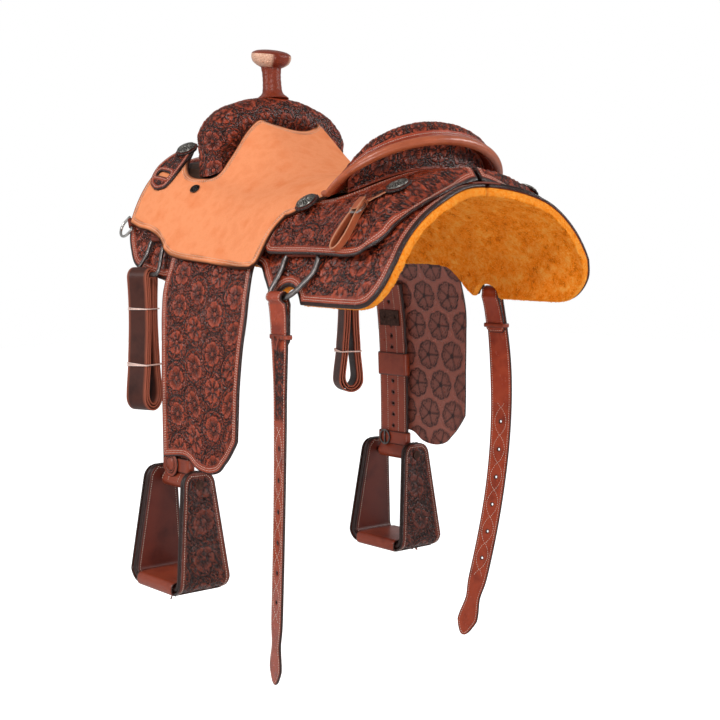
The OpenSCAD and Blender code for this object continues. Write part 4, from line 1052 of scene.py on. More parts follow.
def make_swells(material, n, m):
    """The carved cover over the fork: smooth sections from foot to foot."""
    half = FORK_W / 2
    mirror = lambda rows: [[-x, z] for x, z in rows[:0:-1]] + rows
    at = np.linspace(0, 16, n)
    outer = through(mirror(FORK_OUTER), at) * [half, FORK_TOP]
    gullet = through(mirror(FORK_GULLET), at) * [half, FORK_TOP]
    mid, arm = (outer + gullet) / 2, (outer - gullet) / 2
    reach = np.linalg.norm(arm, axis=1)
    ahead = arm / reach[:, None]
    depth = FORK_D / 2 - np.abs(at - 8) * 1.1
    a = np.radians(np.linspace(0, 360, m, endpoint=False))
    u = squared(np.cos(a), 0.75) * reach[:, None]
    v = squared(np.sin(a), 0.75) * depth[:, None]
    rings = np.stack([mid[:, :1] + ahead[:, :1] * u, FORK_Y + v, mid[:, 1:] + ahead[:, 1:] * u], -1)
    push = ring_normals(rings)
    push[:, 0] = push[:, 1]
    top_line = lengths(rings[:, 0])
    around = np.concatenate([np.zeros((n, 1)),
                             np.cumsum(np.linalg.norm(np.diff(rings, axis=1), axis=2), axis=1)], 1)
    round_trip = around[:, -1:] + np.linalg.norm(rings[:, -1] - rings[:, 0], axis=1)[:, None]
    over = np.where(around > round_trip / 2, around - round_trip, around)
    along = np.broadcast_to(top_line[:, None], over.shape)
    gullet_side = round_trip / 2 - np.abs(over)
    inside = ease((gullet_side - 20) / 1.5)
    horn = np.hypot(rings[..., 0], rings[..., 1] - FORK_Y)
    inside = inside * np.where(rings[..., 2] > 150, ease((horn - 29) / 1.5), 1.0)
    carving = Carving(560, 330, 9, pitch=56)
    tool = 1 - inside * (1 - carving.read(carving.height, along, over + 150))
    matted = inside * carving.read(carving.matted, along, over + 150)
    tool -= 0.3 * np.exp(-((gullet_side - SWELL_SEAM) / 0.9) ** 2)
    tool = np.clip(tool, 0, 1)
    rings = rings - push * (2.0 * (1 - tool))[..., None]
    marks = {"tool": capped(tool, 1.0), "mat": capped(matted, 0.0),
             "rim": capped(ease((7 - gullet_side) / 1.5), 1.0)}
    solid("swell_leather", *tube(rings, 0.05), marks, "saddle", material, ("swell_cover",), "tooled_leather")
    rows = np.arange(n)
    for side in (1, -1):
        line = np.argmin(np.abs(gullet_side - SWELL_SEAM) + np.where(side * over > 0, 0, 1e3), axis=1)
        SEAMS.setdefault("saddle", []).append((rings[rows, line], push[rows, line]))


# ---- Stitches -----------------------------------------------------------------------------
def new_growth(name, source, numbers, result):
    """A Geometry Nodes tree with named inputs. Returns the tree, its input sockets and its output node."""
    tree = bpy.data.node_groups.new(name, "GeometryNodeTree")
    face = tree.interface
    face.new_socket(source, in_out="INPUT", socket_type="NodeSocketGeometry")
    for key, value in numbers.items():
        kind = "NodeSocketInt" if isinstance(value, int) else "NodeSocketFloat"
        face.new_socket(key, in_out="INPUT", socket_type=kind).default_value = value
    face.new_socket(result, in_out="OUTPUT", socket_type="NodeSocketGeometry")
    return tree, tree.nodes.new("NodeGroupInput").outputs, tree.nodes.new("NodeGroupOutput")


def end_growth(tree, placed, material, done):
    """Makes a tree's instances real and gives them their material."""
    real = node(tree, "GeometryNodeRealizeInstances", None, {"Geometry": placed}).outputs["Geometry"]
    dressed = node(tree, "GeometryNodeSetMaterial", None, {"Geometry": real, "Material": material})
    tree.links.new(dressed.outputs["Geometry"], done.inputs[0])
    return tree


def stitch_tree(material):
    """Lays a thread stitch every pitch along lines of edges, turned to lie on the leather."""
    tree, given, done = new_growth("saddle_stitch", "Lines", {"Pitch": 0.0042, "Stitch length": 0.0031,
                                                              "Thread width": 0.0009}, "Stitches")
    curve = node(tree, "GeometryNodeMeshToCurve", None, {"Mesh": given["Lines"]}).outputs["Curve"]
    even = node(tree, "GeometryNodeResampleCurve", {"mode": "LENGTH"},
                {"Curve": curve, "Length": given["Pitch"]}).outputs["Curve"]
    thread = node(tree, "GeometryNodeMeshUVSphere", None,
                  {"Segments": 5, "Rings": 3, "Radius": 0.5}).outputs["Mesh"]
    size = node(tree, "ShaderNodeCombineXYZ", None, {"X": given["Thread width"], "Y": given["Thread width"],
                                                     "Z": given["Stitch length"]}).outputs["Vector"]
    thread = node(tree, "GeometryNodeTransform", None,
                  {"Geometry": thread, "Scale": size}).outputs["Geometry"]
    tangent = node(tree, "GeometryNodeInputTangent").outputs["Tangent"]
    turn = node(tree, "FunctionNodeAlignRotationToVector", {"axis": "Z"},
                {"Vector": tangent}).outputs["Rotation"]
    placed = node(tree, "GeometryNodeInstanceOnPoints", None,
                  {"Points": even, "Instance": thread, "Rotation": turn}).outputs["Instances"]
    return end_growth(tree, placed, material, done)


def line_mesh(name, lines, raise_by):
    """Edges along lines of points, raised along their normals."""
    verts, edges, base = [], [], 0
    for points, up in lines:
        verts.append(points + up * raise_by)
        k = np.arange(len(points) - 1) + base
        edges.append(np.stack([k, k + 1], -1))
        base += len(points)
    mesh = bpy.data.meshes.new(name)
    mesh.from_pydata((np.concatenate(verts) * MM).tolist(), np.concatenate(edges).tolist(), [])
    return mesh


def grow_mesh(name, source, tree, **inputs):
    """Runs a Geometry Nodes tree on a mesh and gives its result as a plain mesh."""
    carrier = bpy.data.objects.new(name + "_lines", source)
    bpy.context.scene.collection.objects.link(carrier)
    modifier = carrier.modifiers.new("grow", "NODES")
    modifier.node_group = tree
    for item in tree.interface.items_tree:
        if item.item_type == "SOCKET" and item.in_out == "INPUT" and item.name in inputs:
            modifier[item.identifier] = inputs[item.name]
    ready = carrier.evaluated_get(bpy.context.evaluated_depsgraph_get())
    mesh = bpy.data.meshes.new_from_object(ready)
    mesh.name = name
    bpy.data.objects.remove(carrier)
    bpy.data.meshes.remove(source)
    mesh.shade_smooth()
    return mesh


SEAM_RAISE = 0.12    # mm


def make_stitches(tree):
    """One piece of stitching for each body that has seams."""
    for body, lines in SEAMS.items():
        if lines:
            mesh = grow_mesh("stitching_" + body, line_mesh("seam_" + body, lines, SEAM_RAISE), tree)
            add_piece(mesh, body, None, (), "plain_leather")


# ---- Cut pieces, straps and turned pieces ---------------------------------------------------
def solid(name, verts, quads, tris, marks, body, material, replaces=(), slot=None):
    """A closed shape as a piece, its faces turned outwards."""
    add_piece(make_mesh(name, verts, *outward(verts, quads, tris), marks), body, material, replaces, slot)


def cut_sheet(name, place, thick, keep, material, body, replaces=(), slot=None, rows=(), round_holes=False,
              carving=None, depth=1.2, border=8.0, edge_wide=1.8, side="near", back_rows=False, lines=(),
              groove=0.2, plain=None):
    """A closed leather piece over the kept cells of a grid; place(o) is the grid at height o over its back.
    Stitch rows run at the given distances from its outline, and round its holes too if asked."""
    face, under = place(thick), place(0.0)
    edge = masked_slab(face, under, keep)[4]
    far = edge_distance(face, face.reshape(-1, 3)[edge])
    outline = far if round_holes or keep.all() else edge_distance(face)
    tool, matted = np.ones(far.shape), np.zeros(far.shape)
    if carving is not None:
        u, v = flat_places(face)
        inside = ease((far - border) / 1.2)
        if plain is not None:
            inside = inside * plain
        tool = 1 - inside * (1 - carving.read(carving.height, u, v))
        matted = inside * carving.read(carving.matted, u, v)
    for row in rows:
        tool = tool - groove * np.exp(-((outline - row) / 0.8) ** 2)
    tool = np.clip(tool, 0, 1)
    top = place(thick - depth * (1 - tool) - 0.7 * np.exp(-far / 1.1))
    verts, quads, used, size, _ = masked_slab(top, under, keep)
    marks = {"rim": np.ones(len(used)), "tool": np.ones(len(used)), "mat": np.zeros(len(used)),
             "back": np.zeros(len(used))}
    on_top, below = used < size, (used >= size) & (used < 2 * size)
    rim = ease((edge_wide - far) / 0.9).ravel()
    marks["rim"][on_top] = rim[used[on_top]]
    marks["tool"][on_top] = tool.ravel()[used[on_top]]
    marks["mat"][on_top] = matted.ravel()[used[on_top]]
    marks["rim"][below] = rim[used[below] - size]
    marks["back"][below] = 1.0
    cast = 1.0 if side == "near" else CAST
    solid(name, verts * cast, quads, NO_TRIS, marks, body, material, replaces, slot)
    normals = grid_normals(top)
    if ((top - under) * normals).sum() < 0:
        normals = -normals
    dead = np.zeros(far.shape, bool)
    for a, b in CORNERS:
        dead[a, b] |= ~keep
    field = np.where(dead & round_holes, -1.0, outline)
    seams = SEAMS.setdefault(body, [])
    found = []
    for row in rows:
        found += contour(field, row, top, normals)
        if back_rows:
            found += contour(field, row, under, -normals)
    seams.extend((points * cast, up * cast) for points, up in found + list(lines))


class Strap:
    """A flat strap along a path. Its face lies on the side of path direction x width direction."""

    def __init__(self, path, across, half, thick, step=2.0, columns=None):
        path = np.asarray(path, float)
        self.run = lengths(path)
        self.path = path
        self.across = unit(np.broadcast_to(np.asarray(across, float), path.shape))
        ahead = unit(np.gradient(path, self.run, axis=0))
        self.normal = unit(np.cross(ahead, self.across))
        self.thick = thick
        self.half = half if callable(half) else (lambda u: np.full(np.shape(u), float(half)))
        n = max(8, int(self.run[-1] / step))
        widest = float(self.half(self.run).max())
        m = columns or max(7, int(2 * widest / step) | 1)
        u = np.linspace(0, self.run[-1], n + 1)
        self.u = np.repeat(u[:, None], m + 1, 1)
        self.v = np.linspace(-1, 1, m + 1)[None, :] * self.half(u)[:, None]
        self.keep = np.ones((n, m), bool)

    def at(self, u, v, o):
        """Points u along, v across and o over the strap's middle."""
        pick = lambda rows: np.stack([np.interp(u, self.run, rows[:, k]) for k in range(3)], -1)
        v, o = np.asarray(v)[..., None], np.asarray(o)[..., None]
        return pick(self.path) + v * pick(self.across) + o * pick(self.normal)

    def place(self, o):
        return self.at(self.u, self.v, np.broadcast_to(o, self.u.shape) - self.thick / 2)

    def punch(self, u0, v0, r):
        """A round hole: drops the cells inside it and draws their rim onto a circle."""
        cu = (self.u[:-1, :-1] + self.u[1:, 1:]) / 2
        cv = (self.v[:-1, :-1] + self.v[1:, 1:]) / 2
        inside = np.hypot(cu - u0, cv - v0) < r
        self.keep &= ~inside
        touched = np.zeros(self.u.shape, bool)
        open_side = np.zeros(self.u.shape, bool)
        for a, b in CORNERS:
            touched[a, b] |= inside
            open_side[a, b] |= ~inside
        rim = touched & open_side
        du, dv = self.u[rim] - u0, self.v[rim] - v0
        far = np.hypot(du, dv) + 1e-9
        self.u[rim], self.v[rim] = u0 + du / far * r, v0 + dv / far * r

    def line(self, u, v, back=False):
        """A stitch line on the strap's face or back."""
        u, v = np.broadcast_arrays(np.asarray(u, float), np.asarray(v, float))
        sign = -1.0 if back else 1.0
        up = self.at(u, v, np.full(u.shape, 1.0)) - self.at(u, v, np.zeros(u.shape))
        return self.at(u, v, np.full(u.shape, sign * (self.thick / 2 - 0.1))), up * sign

    def make(self, name, material, body, **settings):
        cut_sheet(name, self.place, self.thick, self.keep, material, body, **settings)


def turning(ax, ay):
    """Rotation about x, then about y, in degrees."""
    a, b = math.radians(ax), math.radians(ay)
    rx = np.array([[1, 0, 0], [0, math.cos(a), -math.sin(a)], [0, math.sin(a), math.cos(a)]])
    ry = np.array([[math.cos(b), 0, math.sin(b)], [0, 1, 0], [-math.sin(b), 0, math.cos(b)]])
    return ry @ rx


def on_surface(y, t, o):
    """Where a piece lies flat on the arch: its origin, and its turn."""
    u = min(1, max(0, (y - WITHER_FROM) / WITHER_RUN))
    climb = WITHER / WITHER_RUN * 6 * u * (1 - u) * math.cos(math.radians(t))
    c = ARCH_HALF * math.cos(math.radians(t))
    high = float(rise_at(y))
    steep = math.sqrt((high * math.sin(math.radians(t))) ** 2 + (climb * c) ** 2 + c ** 2)
    pitch = math.degrees(math.asin(climb * c / steep))
    lean = math.degrees(math.atan(high / ARCH_HALF * math.tan(math.radians(t))))
    return on_arch(y, t, o), turning(pitch, -lean)


def turned(profile, segments, origin, turn, wave=None):
    """A solid of revolution from profile points (radius, height), which start and end on the axis.
    wave(radius, height, angle) may change them and give marks."""
    p = np.asarray(profile, float)
    a = np.linspace(0, 2 * math.pi, segments, endpoint=False)[None, :]
    r, h = np.repeat(p[1:-1, :1], segments, 1), np.repeat(p[1:-1, 1:], segments, 1)
    marks = {"tool": np.ones(r.shape), "rim": np.zeros(r.shape), "mat": np.zeros(r.shape)}
    if wave is not None:
        r, h, extra = wave(r, h, np.broadcast_to(a, r.shape))
        marks.update(extra)
    points = np.stack([r * np.cos(a), r * np.sin(a), h], -1).reshape(-1, 3)
    points = np.concatenate([points, [[0, 0, p[0, 1]], [0, 0, p[-1, 1]]]])
    k = len(p) - 2
    g = np.arange(k * segments).reshape(k, segments)
    nxt = np.roll(g, -1, axis=1)
    quads = np.stack([g[:-1], g[1:], nxt[1:], nxt[:-1]], -1).reshape(-1, 4)
    tris = np.concatenate([np.stack([np.full(segments, k * segments), g[0], nxt[0]], -1),
                           np.stack([np.full(segments, k * segments + 1), nxt[-1], g[-1]], -1)])
    marks = {key: np.concatenate([v.ravel(), v[0, :1], v[-1, :1]]) for key, v in marks.items()}
    verts = points @ turn.T + origin
    return (verts, *outward(verts, quads, tris), marks)


def gathered(parts):
    """Several closed shapes as one mesh's points, faces and marks."""
    verts, quads, tris, marks, base = [], [], [], {}, 0
    for v, q, t, m in parts:
        verts.append(v)
        quads.append(q + base)
        tris.append(t + base)
        for key, values in m.items():
            marks.setdefault(key, []).append(values)
        base += len(v)
    return (np.concatenate(verts), np.concatenate(quads), np.concatenate(tris),
            {key: np.concatenate(v) for key, v in marks.items()})


def both_casts(parts):
    """The near-side shapes and their far-side twins."""
    return parts + [(v * CAST, q[:, ::-1], t[:, ::-1], m) for v, q, t, m in parts]


def cast_piece(name, shape, side, body, material, replaces=(), slot=None):
    """A near-side shape, or its far-side twin, as a piece."""
    shape = shape if side == "near" else both_casts([shape])[1]
    add_piece(make_mesh(name, *shape), body, material, replaces, slot)


def smooth_profile(points, count):
    """A smooth line through a turned profile's points, kept on its side of the axis."""
    line = through(points, np.linspace(0, len(points) - 1, count))
    line[:, 0] = np.maximum(line[:, 0], 0.0)
    return line


def closed_tube(rings):
    """A solid ring through rings of points that close on themselves."""
    n, m = rings.shape[:2]
    g = np.arange(n * m).reshape(n, m)
    a, b = np.roll(g, -1, axis=1), np.roll(g, -1, axis=0)
    quads = np.stack([g, a, np.roll(a, -1, axis=0), b], -1).reshape(-1, 4)
    verts = rings.reshape(-1, 3)
    return (verts, *outward(verts, quads, NO_TRIS), {"tool": np.ones(len(verts))})


def rounded_line(points, closed, count, corner):
    """A polyline with its corners rounded, resampled evenly."""
    p = [np.asarray(q, float) for q in points]
    out = []
    last = len(p) - 1
    for i, q in enumerate(p):
        if not closed and i in (0, last):
            out.append(q)
            continue
        a, b = p[i - 1] - q, p[(i + 1) % len(p)] - q
        r = min(corner, np.linalg.norm(a) * 0.45, np.linalg.norm(b) * 0.45)
        a, b = q + a / np.linalg.norm(a) * r, q + b / np.linalg.norm(b) * r
        for s in np.linspace(0, 1, 9):
            out.append((1 - s) ** 2 * a + 2 * s * (1 - s) * q + s * s * b)
    out = np.array(out + ([out[0]] if closed else []))
    run = lengths(out)
    at = np.linspace(0, run[-1], count, endpoint=not closed)
    return np.stack([np.interp(at, run, out[:, k]) for k in range(out.shape[1])], -1)


def lumps(u, v, size, seed):
    """Smooth random heights from 0 to 1 whose lumps are about size mm across."""
    rng = np.random.default_rng(seed)
    a, b = u / size, v / size
    i0, j0 = int(a.min()) - 1, int(b.min()) - 1
    field = rng.random((int(a.max()) - i0 + 3, int(b.max()) - j0 + 3))
    i, j = np.floor(a).astype(int), np.floor(b).astype(int)
    f, g = ease(a - i), ease(b - j)
    i, j = i - i0, j - j0
    return ((field[i, j] * (1 - g) + field[i, j + 1] * g) * (1 - f)
            + (field[i + 1, j] * (1 - g) + field[i + 1, j + 1] * g) * f)


# ---- Sheepskin ---------------------------------------------------------------------------
def make_fleece(material, tuft_tree, n, m):
    """The lining: a lumpy golden pile, with loose tufts standing on its face and rim."""
    y, t = skirt_plan(n, m)
    inner = on_arch(y, t, -19.0)
    u, v = flat_places(inner)
    heights = 0.5 * lumps(u, v, 13.0, 1) + 0.3 * lumps(u + 3 * lumps(u, v, 9, 8), v, 5.5, 2)
    heights = heights + 0.2 * lumps(u, v, 2.8, 3)
    face = on_arch(y, t, -17.6 - 2.6 * heights)
    back = on_arch(y, t, -5.9)
    verts, quads, tris, n_top, _ = slab(face, back, 4, 0.2)
    # The lumps' heights go to the material, which paints the high ones lighter as if lit and the low ones
    # darker as shade.
    shade = np.concatenate([heights.ravel(), np.full(len(verts) - n_top, 0.6)])
    # Tufts stand on the face and the rim, not on the side that lies on the skirts.
    count = (n - 1) * (m - 1)
    standing = np.concatenate([quads[:count], quads[count + ((n - 1) // 4) * ((m - 1) // 4):]])
    for side, seed in (("near", 5), ("off", 3)):
        cast = 1.0 if side == "near" else CAST
        solid(f"fleece_{side}", verts * cast, quads, tris, {"tool": shade}, "saddle", material,
              ("sheepskin_lining",) if side == "near" else (), "sheepskin")
        q, _ = outward(verts * cast, standing, tris)
        source = make_mesh("fleece_base", verts * cast, q, None, {})
        tufts = grow_mesh(f"fleece_tufts_{side}", source, tuft_tree, Seed=seed)
        # Tufts get a high pile value, which the material paints light as a painted highlight.
        shades = tufts.attributes.new("tool", "FLOAT", "POINT")
        shades.data.foreach_set("value", np.full(len(tufts.vertices), 0.8))
        add_piece(tufts, "saddle", None, (), "sheepskin")


def tuft_growth(material):
    """Stands short bent tufts of wool on a surface."""
    tree, given, done = new_growth("wool_tufts", "Pile", {
        "Tufts per square metre": 45000.0, "Tuft length": 0.0062, "Tuft width": 0.0016, "Seed": 3}, "Tufts")
    spread = node(tree, "GeometryNodeDistributePointsOnFaces", {"distribute_method": "RANDOM"},
                  {"Mesh": given["Pile"], "Density": given["Tufts per square metre"], "Seed": given["Seed"]})
    cone = node(tree, "GeometryNodeMeshCone", {"fill_type": "NGON"},
                {"Vertices": 3, "Side Segments": 1, "Fill Segments": 1, "Radius Top": 0.0,
                 "Radius Bottom": given["Tuft width"], "Depth": given["Tuft length"]}).outputs["Mesh"]
    tilt = node(tree, "FunctionNodeRandomValue", {"data_type": "FLOAT_VECTOR"},
                {"Min": (-0.9, -0.9, -3.0), "Max": (0.9, 0.9, 3.0), "Seed": 7}).outputs[0]
    turn = node(tree, "FunctionNodeRotateRotation", {"rotation_space": "LOCAL"},
                {"Rotation": spread.outputs["Rotation"], "Rotate By": tilt}).outputs["Rotation"]
    size = node(tree, "FunctionNodeRandomValue", {"data_type": "FLOAT_VECTOR"},
                {"Min": (0.6, 0.6, 0.5), "Max": (1.3, 1.3, 1.25), "Seed": 9}).outputs[0]
    placed = node(tree, "GeometryNodeInstanceOnPoints", None,
                  {"Points": spread.outputs["Points"], "Instance": cone, "Rotation": turn, "Scale": size})
    return end_growth(tree, placed.outputs["Instances"], material, done)


# ---- Rigging ------------------------------------------------------------------------------
HEAD_O = 0.8 + 1.8 + 0.4 + 2.5    # gap, flap, gap and half the flat head: the head's height over the skirts
REAR_DEE = {"pivot": (-178.0, -87.0), "head": 92.0, "foot": 66.0, "tall": 76.0, "shift": 31.0, "lean": 21.0,
            "bar": 9.0}
FRONT_DEE = {"pivot": (234.0, -62.0), "head": 54.0, "foot": 86.0, "tall": 70.0, "shift": 6.0, "lean": 19.0,
             "bar": 8.0}


def dee_pivot(dee):
    """The middle of a near-side dee's head, where it turns in its leather."""
    y, z = dee["pivot"]
    t = math.degrees(math.acos((z - ARCH_Z) / (float(rise_at(y)) + HEAD_O)))
    return np.array([-(ARCH_HALF + HEAD_O) * math.sin(math.radians(t)), y, z])


def dee_foot(dee):
    """The middle of its lower bar, where a strap hangs."""
    reach, lean = dee["tall"] - dee["bar"] / 2, math.radians(dee["lean"])
    return dee_pivot(dee) + [-reach * math.sin(lean), dee["shift"], -reach * math.cos(lean)]


HALF_FLAT = 2.5    # half the thickness of a dee's flat legs


def make_dee(name, dee, material):
    """A forged dee: flat steel legs in a smooth curve, drawn round where it turns in its leather."""
    b = dee["bar"] / 2
    head, foot, tall, shift = dee["head"] / 2 - b, dee["foot"] / 2 - b, dee["tall"], dee["shift"]
    points = [(-head, 0), (-head, -tall * 0.38), (-foot + shift, -tall + b), (foot + shift, -tall + b),
              (head, -tall * 0.38), (head, 0)]
    line = rounded_line(points, True, 168, 20.0)
    near_head = ease((line[:, 1] + 9) / 8)
    wide = blend_of(b, HALF_FLAT, near_head)
    ahead = unit(np.roll(line, -1, 0) - np.roll(line, 1, 0))
    aside = np.stack([ahead[:, 1], -ahead[:, 0]], -1)
    a = np.radians(np.arange(0, 360, 18))[None, :]
    c = squared(np.cos(a), 0.62) * wide[:, None]
    s = np.broadcast_to(squared(np.sin(a), 0.62) * HALF_FLAT, c.shape)
    dx, dy = line[:, :1] + aside[:, :1] * c, line[:, 1:] + aside[:, 1:] * c
    lean = math.radians(dee["lean"])
    rings = dee_pivot(dee) + np.stack([s * math.cos(lean) + dy * math.sin(lean), dx,
                                       -s * math.sin(lean) + dy * math.cos(lean)], -1)
    shape = closed_tube(rings)
    for side in ("near", "off"):
        cast_piece(f"{name}_steel_{side}", shape, side, f"{name}_{side}", material, (f"{name}_{side}",),
                   "rigging_steel")


# ---- Hanging straps -------------------------------------------------------------------------
BILLET_LEN, BILLET_T, LOOP_R = 620.0, 6.0, math.hypot(9, 5) / 2 + 0.4    # LOOP_R clears the dee's foot
HOLE_R, HOLE_PITCH, HOLES = 3.0, 50.0, 6
BILLET_COVER = 1.6    # the drawn plies are this much thinner than the billet, which leaves room for the seams


def billet_path(f):
    """Where a billet hangs: f runs from the dee to the tip, and the strap swings back as it falls."""
    foot = dee_foot(REAR_DEE)
    bend = np.sin(math.pi * np.power(np.clip(f, 0, 1), 0.85))
    sway = np.sin(math.pi * np.power(np.clip(f, 0, 1), 0.8))
    return np.stack([foot[0] + 1.8 - 13 * bend + 22 * f * f, foot[1] - 21 * sway + 44 * f * f,
                     foot[2] - LOOP_R - 2 - f * BILLET_LEN], -1)


def make_billets(tooled, smooth):
    """Two-ply billets: a tail folded over the dee and laced down, a carved head, holes in a looping
    stitch pattern and a waisted, pointed tip."""
    foot = dee_foot(REAR_DEE)
    round_r = LOOP_R + 2.2
    f = np.linspace(0.0, 1.0, 120)
    main = billet_path(f)
    main[:, 0] += -round_r * 0.35 * np.exp(-f * 40)
    a = np.radians(np.linspace(200, -20, 26))
    over = np.stack([foot[0] + round_r * np.cos(a), np.full(len(a), foot[1]),
                     foot[2] + round_r * np.sin(a)], -1)
    g = np.linspace(1.0, 0.0, 26)[:-1]
    tail = billet_path(g * 0.105)
    tail[:, 0] += 5.2 + 3.0 * np.exp(-g * 5)
    path = np.concatenate([tail, over[::-1], main])
    turn = np.zeros(len(path))
    turn[-len(main):] = 12 * ease(f * 4)
    turn[:len(tail)] = 12 * ease(g * 0.42)
    turn = np.radians(turn)
    across = -np.stack([np.sin(turn), np.cos(turn), np.zeros(len(turn))], -1)
    run = lengths(path)
    start = run[len(tail) + len(over)]
    full = run[-1] - start

    def half(u):
        f = (u - start) / full
        h = 21.5 - 3.0 * ease((f - 0.1) / 0.5)
        h = h - 4.2 * np.exp(-((f - 0.885) / 0.035) ** 2) + 1.5 * np.exp(-((f - 0.95) / 0.03) ** 2)
        h = h * np.sqrt(np.clip((1.0005 - f) / 0.045, 0, 1)) ** 0.9
        h = np.where(f < 0, 18.0 + 2.0 * ease(-f * 8), h)
        return np.maximum(h * np.sqrt(np.clip((u + 6) / 12, 0, 1)), 1.2)

    strap = Strap(path, across, half, BILLET_T - BILLET_COVER, step=2.0, columns=23)
    places = start + full * (0.36 + np.arange(HOLES) * HOLE_PITCH / BILLET_LEN)
    for u0 in places:
        strap.punch(u0, 0.0, HOLE_R)
    # Two stitch lines cross midway between the holes and loop round them.
    u = np.linspace(places[0] - 32, places[-1] + 32, 260)
    turns = (u - places[0] + HOLE_PITCH / 2) / HOLE_PITCH
    wave = 11.5 * np.abs(np.sin(math.pi * turns)) ** 0.8 * np.where(np.floor(turns) % 2 == 0, 1.0, -1.0)
    lines = [strap.line(u, s * wave, back) for s in (1.0, -1.0) for back in (False, True)]
    carving = Carving(760, 44, 17, pitch=34, margin=6)
    f_here = (strap.u - start) / full
    plain = ease((f_here - 0.11) / 0.01) * ease((0.30 - f_here) / 0.02)
    for side in ("near", "off"):
        strap.make(f"billet_{side}", tooled, f"rear_billet_{side}", replaces=(f"rear_billet_{side}",),
                   slot="tooled_leather", rows=(3.4,), carving=carving, border=5.6, depth=1.3, edge_wide=1.6,
                   side=side, back_rows=True, lines=lines, plain=plain)
        # The lace keeper that ties the tail down, knotted in front.
        middle = billet_path(np.array([0.085]))[0] + [2.6, 0, 0]
        w, d = 23.5, 7.5
        loop = rounded_line([(-d, -w), (d, -w), (d, w), (-d, w)], True, 60, 5.0)
        c, s = math.cos(math.radians(6)), math.sin(math.radians(6))
        ring = np.stack([middle[0] + loop[:, 0] * c + loop[:, 1] * s,
                         middle[1] + loop[:, 1] * c - loop[:, 0] * s, np.full(60, middle[2])], -1)
        ring = np.concatenate([ring, ring[:1]])
        Strap(ring, (0, 0, 1), 3.4, 1.8, step=2.0, columns=5).make(
            f"lace_keeper_{side}", smooth, f"rear_billet_{side}", slot="plain_leather", side=side,
            edge_wide=0.5)
        for k, tip in enumerate((-7.0, 7.0)):
            drop = np.linspace(0, 1, 16)
            vee = np.stack([middle[0] - d - 1.4 - 0.6 * np.sin(drop * 3.1),
                            middle[1] + tip * (1 - drop) + 0.6 * k, middle[2] + 1 - drop * 21], -1)
            Strap(vee, (0, 1, 0.25 * (1 - 2 * k)), 2.2, 1.8, step=1.6, columns=3).make(
                f"lace_end_{k}_{side}", smooth, f"rear_billet_{side}", slot="plain_leather", side=side,
                edge_wide=0.4)


STRING_R = 0.85


def make_hanks(material, string):
    """The latigo and the half-breed, coiled flat over the front dees and tied twice."""
    foot = dee_foot(FRONT_DEE)
    long, thick, pitch, turns = 248.0, 3.6, 4.9, 3.0

    def half_width(drop):
        """Half the hank's width at a share of the way down: drawn in where it is tied, full at its foot."""
        return 21.5 - 4.0 * np.sin(math.pi * np.clip(drop / 0.62, 0, 1)) + 6.5 * ease((drop - 0.62) / 0.3)

    def outline(s, inset):
        """One turn of the coil: s runs once round from the top, at a distance inside the outermost turn."""
        side = np.where(s < 0.5, -1.0, 1.0)
        f = np.where(s < 0.5, s, 1 - s) * 2
        z = 13.0 - inset - (long + 13.0 - inset * 2 - 4) * f
        w = half_width((8 - z) / long) - inset
        end_top = np.clip((13.0 - inset - z) / 17.0, 0, 1)
        end_low = np.clip((z + long - inset - 4) / 23.0, 0, 1)
        w = w * np.sqrt(1 - (1 - end_top) ** 2) * np.sqrt(1 - (1 - end_low) ** 2)
        return side * w, z

    s = np.linspace(0.0, turns, 620)
    # Points gather where the coil turns over, so its loops stay round.
    wrapped = s % 1.0
    round_once = 0.25 - 0.25 * np.cos(math.pi * (wrapped % 0.5) * 2) + np.where(wrapped < 0.5, 0.0, 0.5)
    x, z = outline(round_once, 2.0 + pitch * s)
    c, sn = math.cos(math.radians(20)), math.sin(math.radians(20))
    centre = foot + [0, 12.0, 0]
    path = np.stack([centre[0] + x * c, centre[1] + x * sn, centre[2] + z], -1)
    keep = np.concatenate([[True], np.linalg.norm(np.diff(path, axis=0), axis=1) > 0.05])
    strap = Strap(path[keep], (-sn, c, 0), 20.5, thick, step=3.6, columns=7)
    around = np.radians(np.arange(0, 360, 45))[None, :, None]
    upright = np.array([0, 0, 1.0])
    for side, body in (("near", "latigo_near"), ("off", "half_breed_off")):
        strap.make(f"coiled_strap_{side}", material, body, replaces=(body,), slot="latigo_leather", side=side,
                   edge_wide=0.6)
        for k, drop in enumerate((0.30, 0.70)):
            z0 = 13 - long * drop
            w = float(half_width((8 - z0) / long)) + 0.4
            for turn in range(2 + k):
                loop = rounded_line([(-w, -22), (w, -22), (w, 22), (-w, 22)], True, 56, 3.0)
                tilt = 1.6 * turn + 0.05 * (turn - 0.5) * loop[:, 1]
                ring = np.stack([centre[0] + loop[:, 0] * c - loop[:, 1] * sn,
                                 centre[1] + loop[:, 0] * sn + loop[:, 1] * c, centre[2] + z0 + tilt], -1)
                ahead = unit(np.roll(ring, -1, 0) - np.roll(ring, 1, 0))
                aside = unit(np.cross(ahead, upright))[:, None]
                string_rings = ring[:, None] + STRING_R * (aside * np.cos(around) + upright * np.sin(around))
                cast_piece(f"hank_tie_{k}_{turn}_{side}", closed_tube(string_rings), side, body, string, (),
                           "latigo_leather")


# ---- Stirrup leathers and stirrups ------------------------------------------------------------
LEATHER_Y, LEATHER_W, LEATHER_T = 124.0, 74.0, 7.0
BOLT_Z = HINGE_Z - 370.0
LEATHER_IN = 2.5 + 1.6 + 2.0 + 0.4 + 3.5    # half the fender, gap, sleeve, gap and half the leathers
STIRRUP_FOOT = BOLT_Z - 168.0
TURN_R = 10.25    # the leathers' turn round the stirrup bolt
LEATHER_HOLES, LEATHER_HOLE_PITCH = 13, 22


def leather_x(z):
    """How far out the stirrup leathers hang at a height, inside the fender."""
    return fender_x(np.full(np.shape(z), LEATHER_Y - LEATHER_W / 2), np.asarray(z, float)) + LEATHER_IN


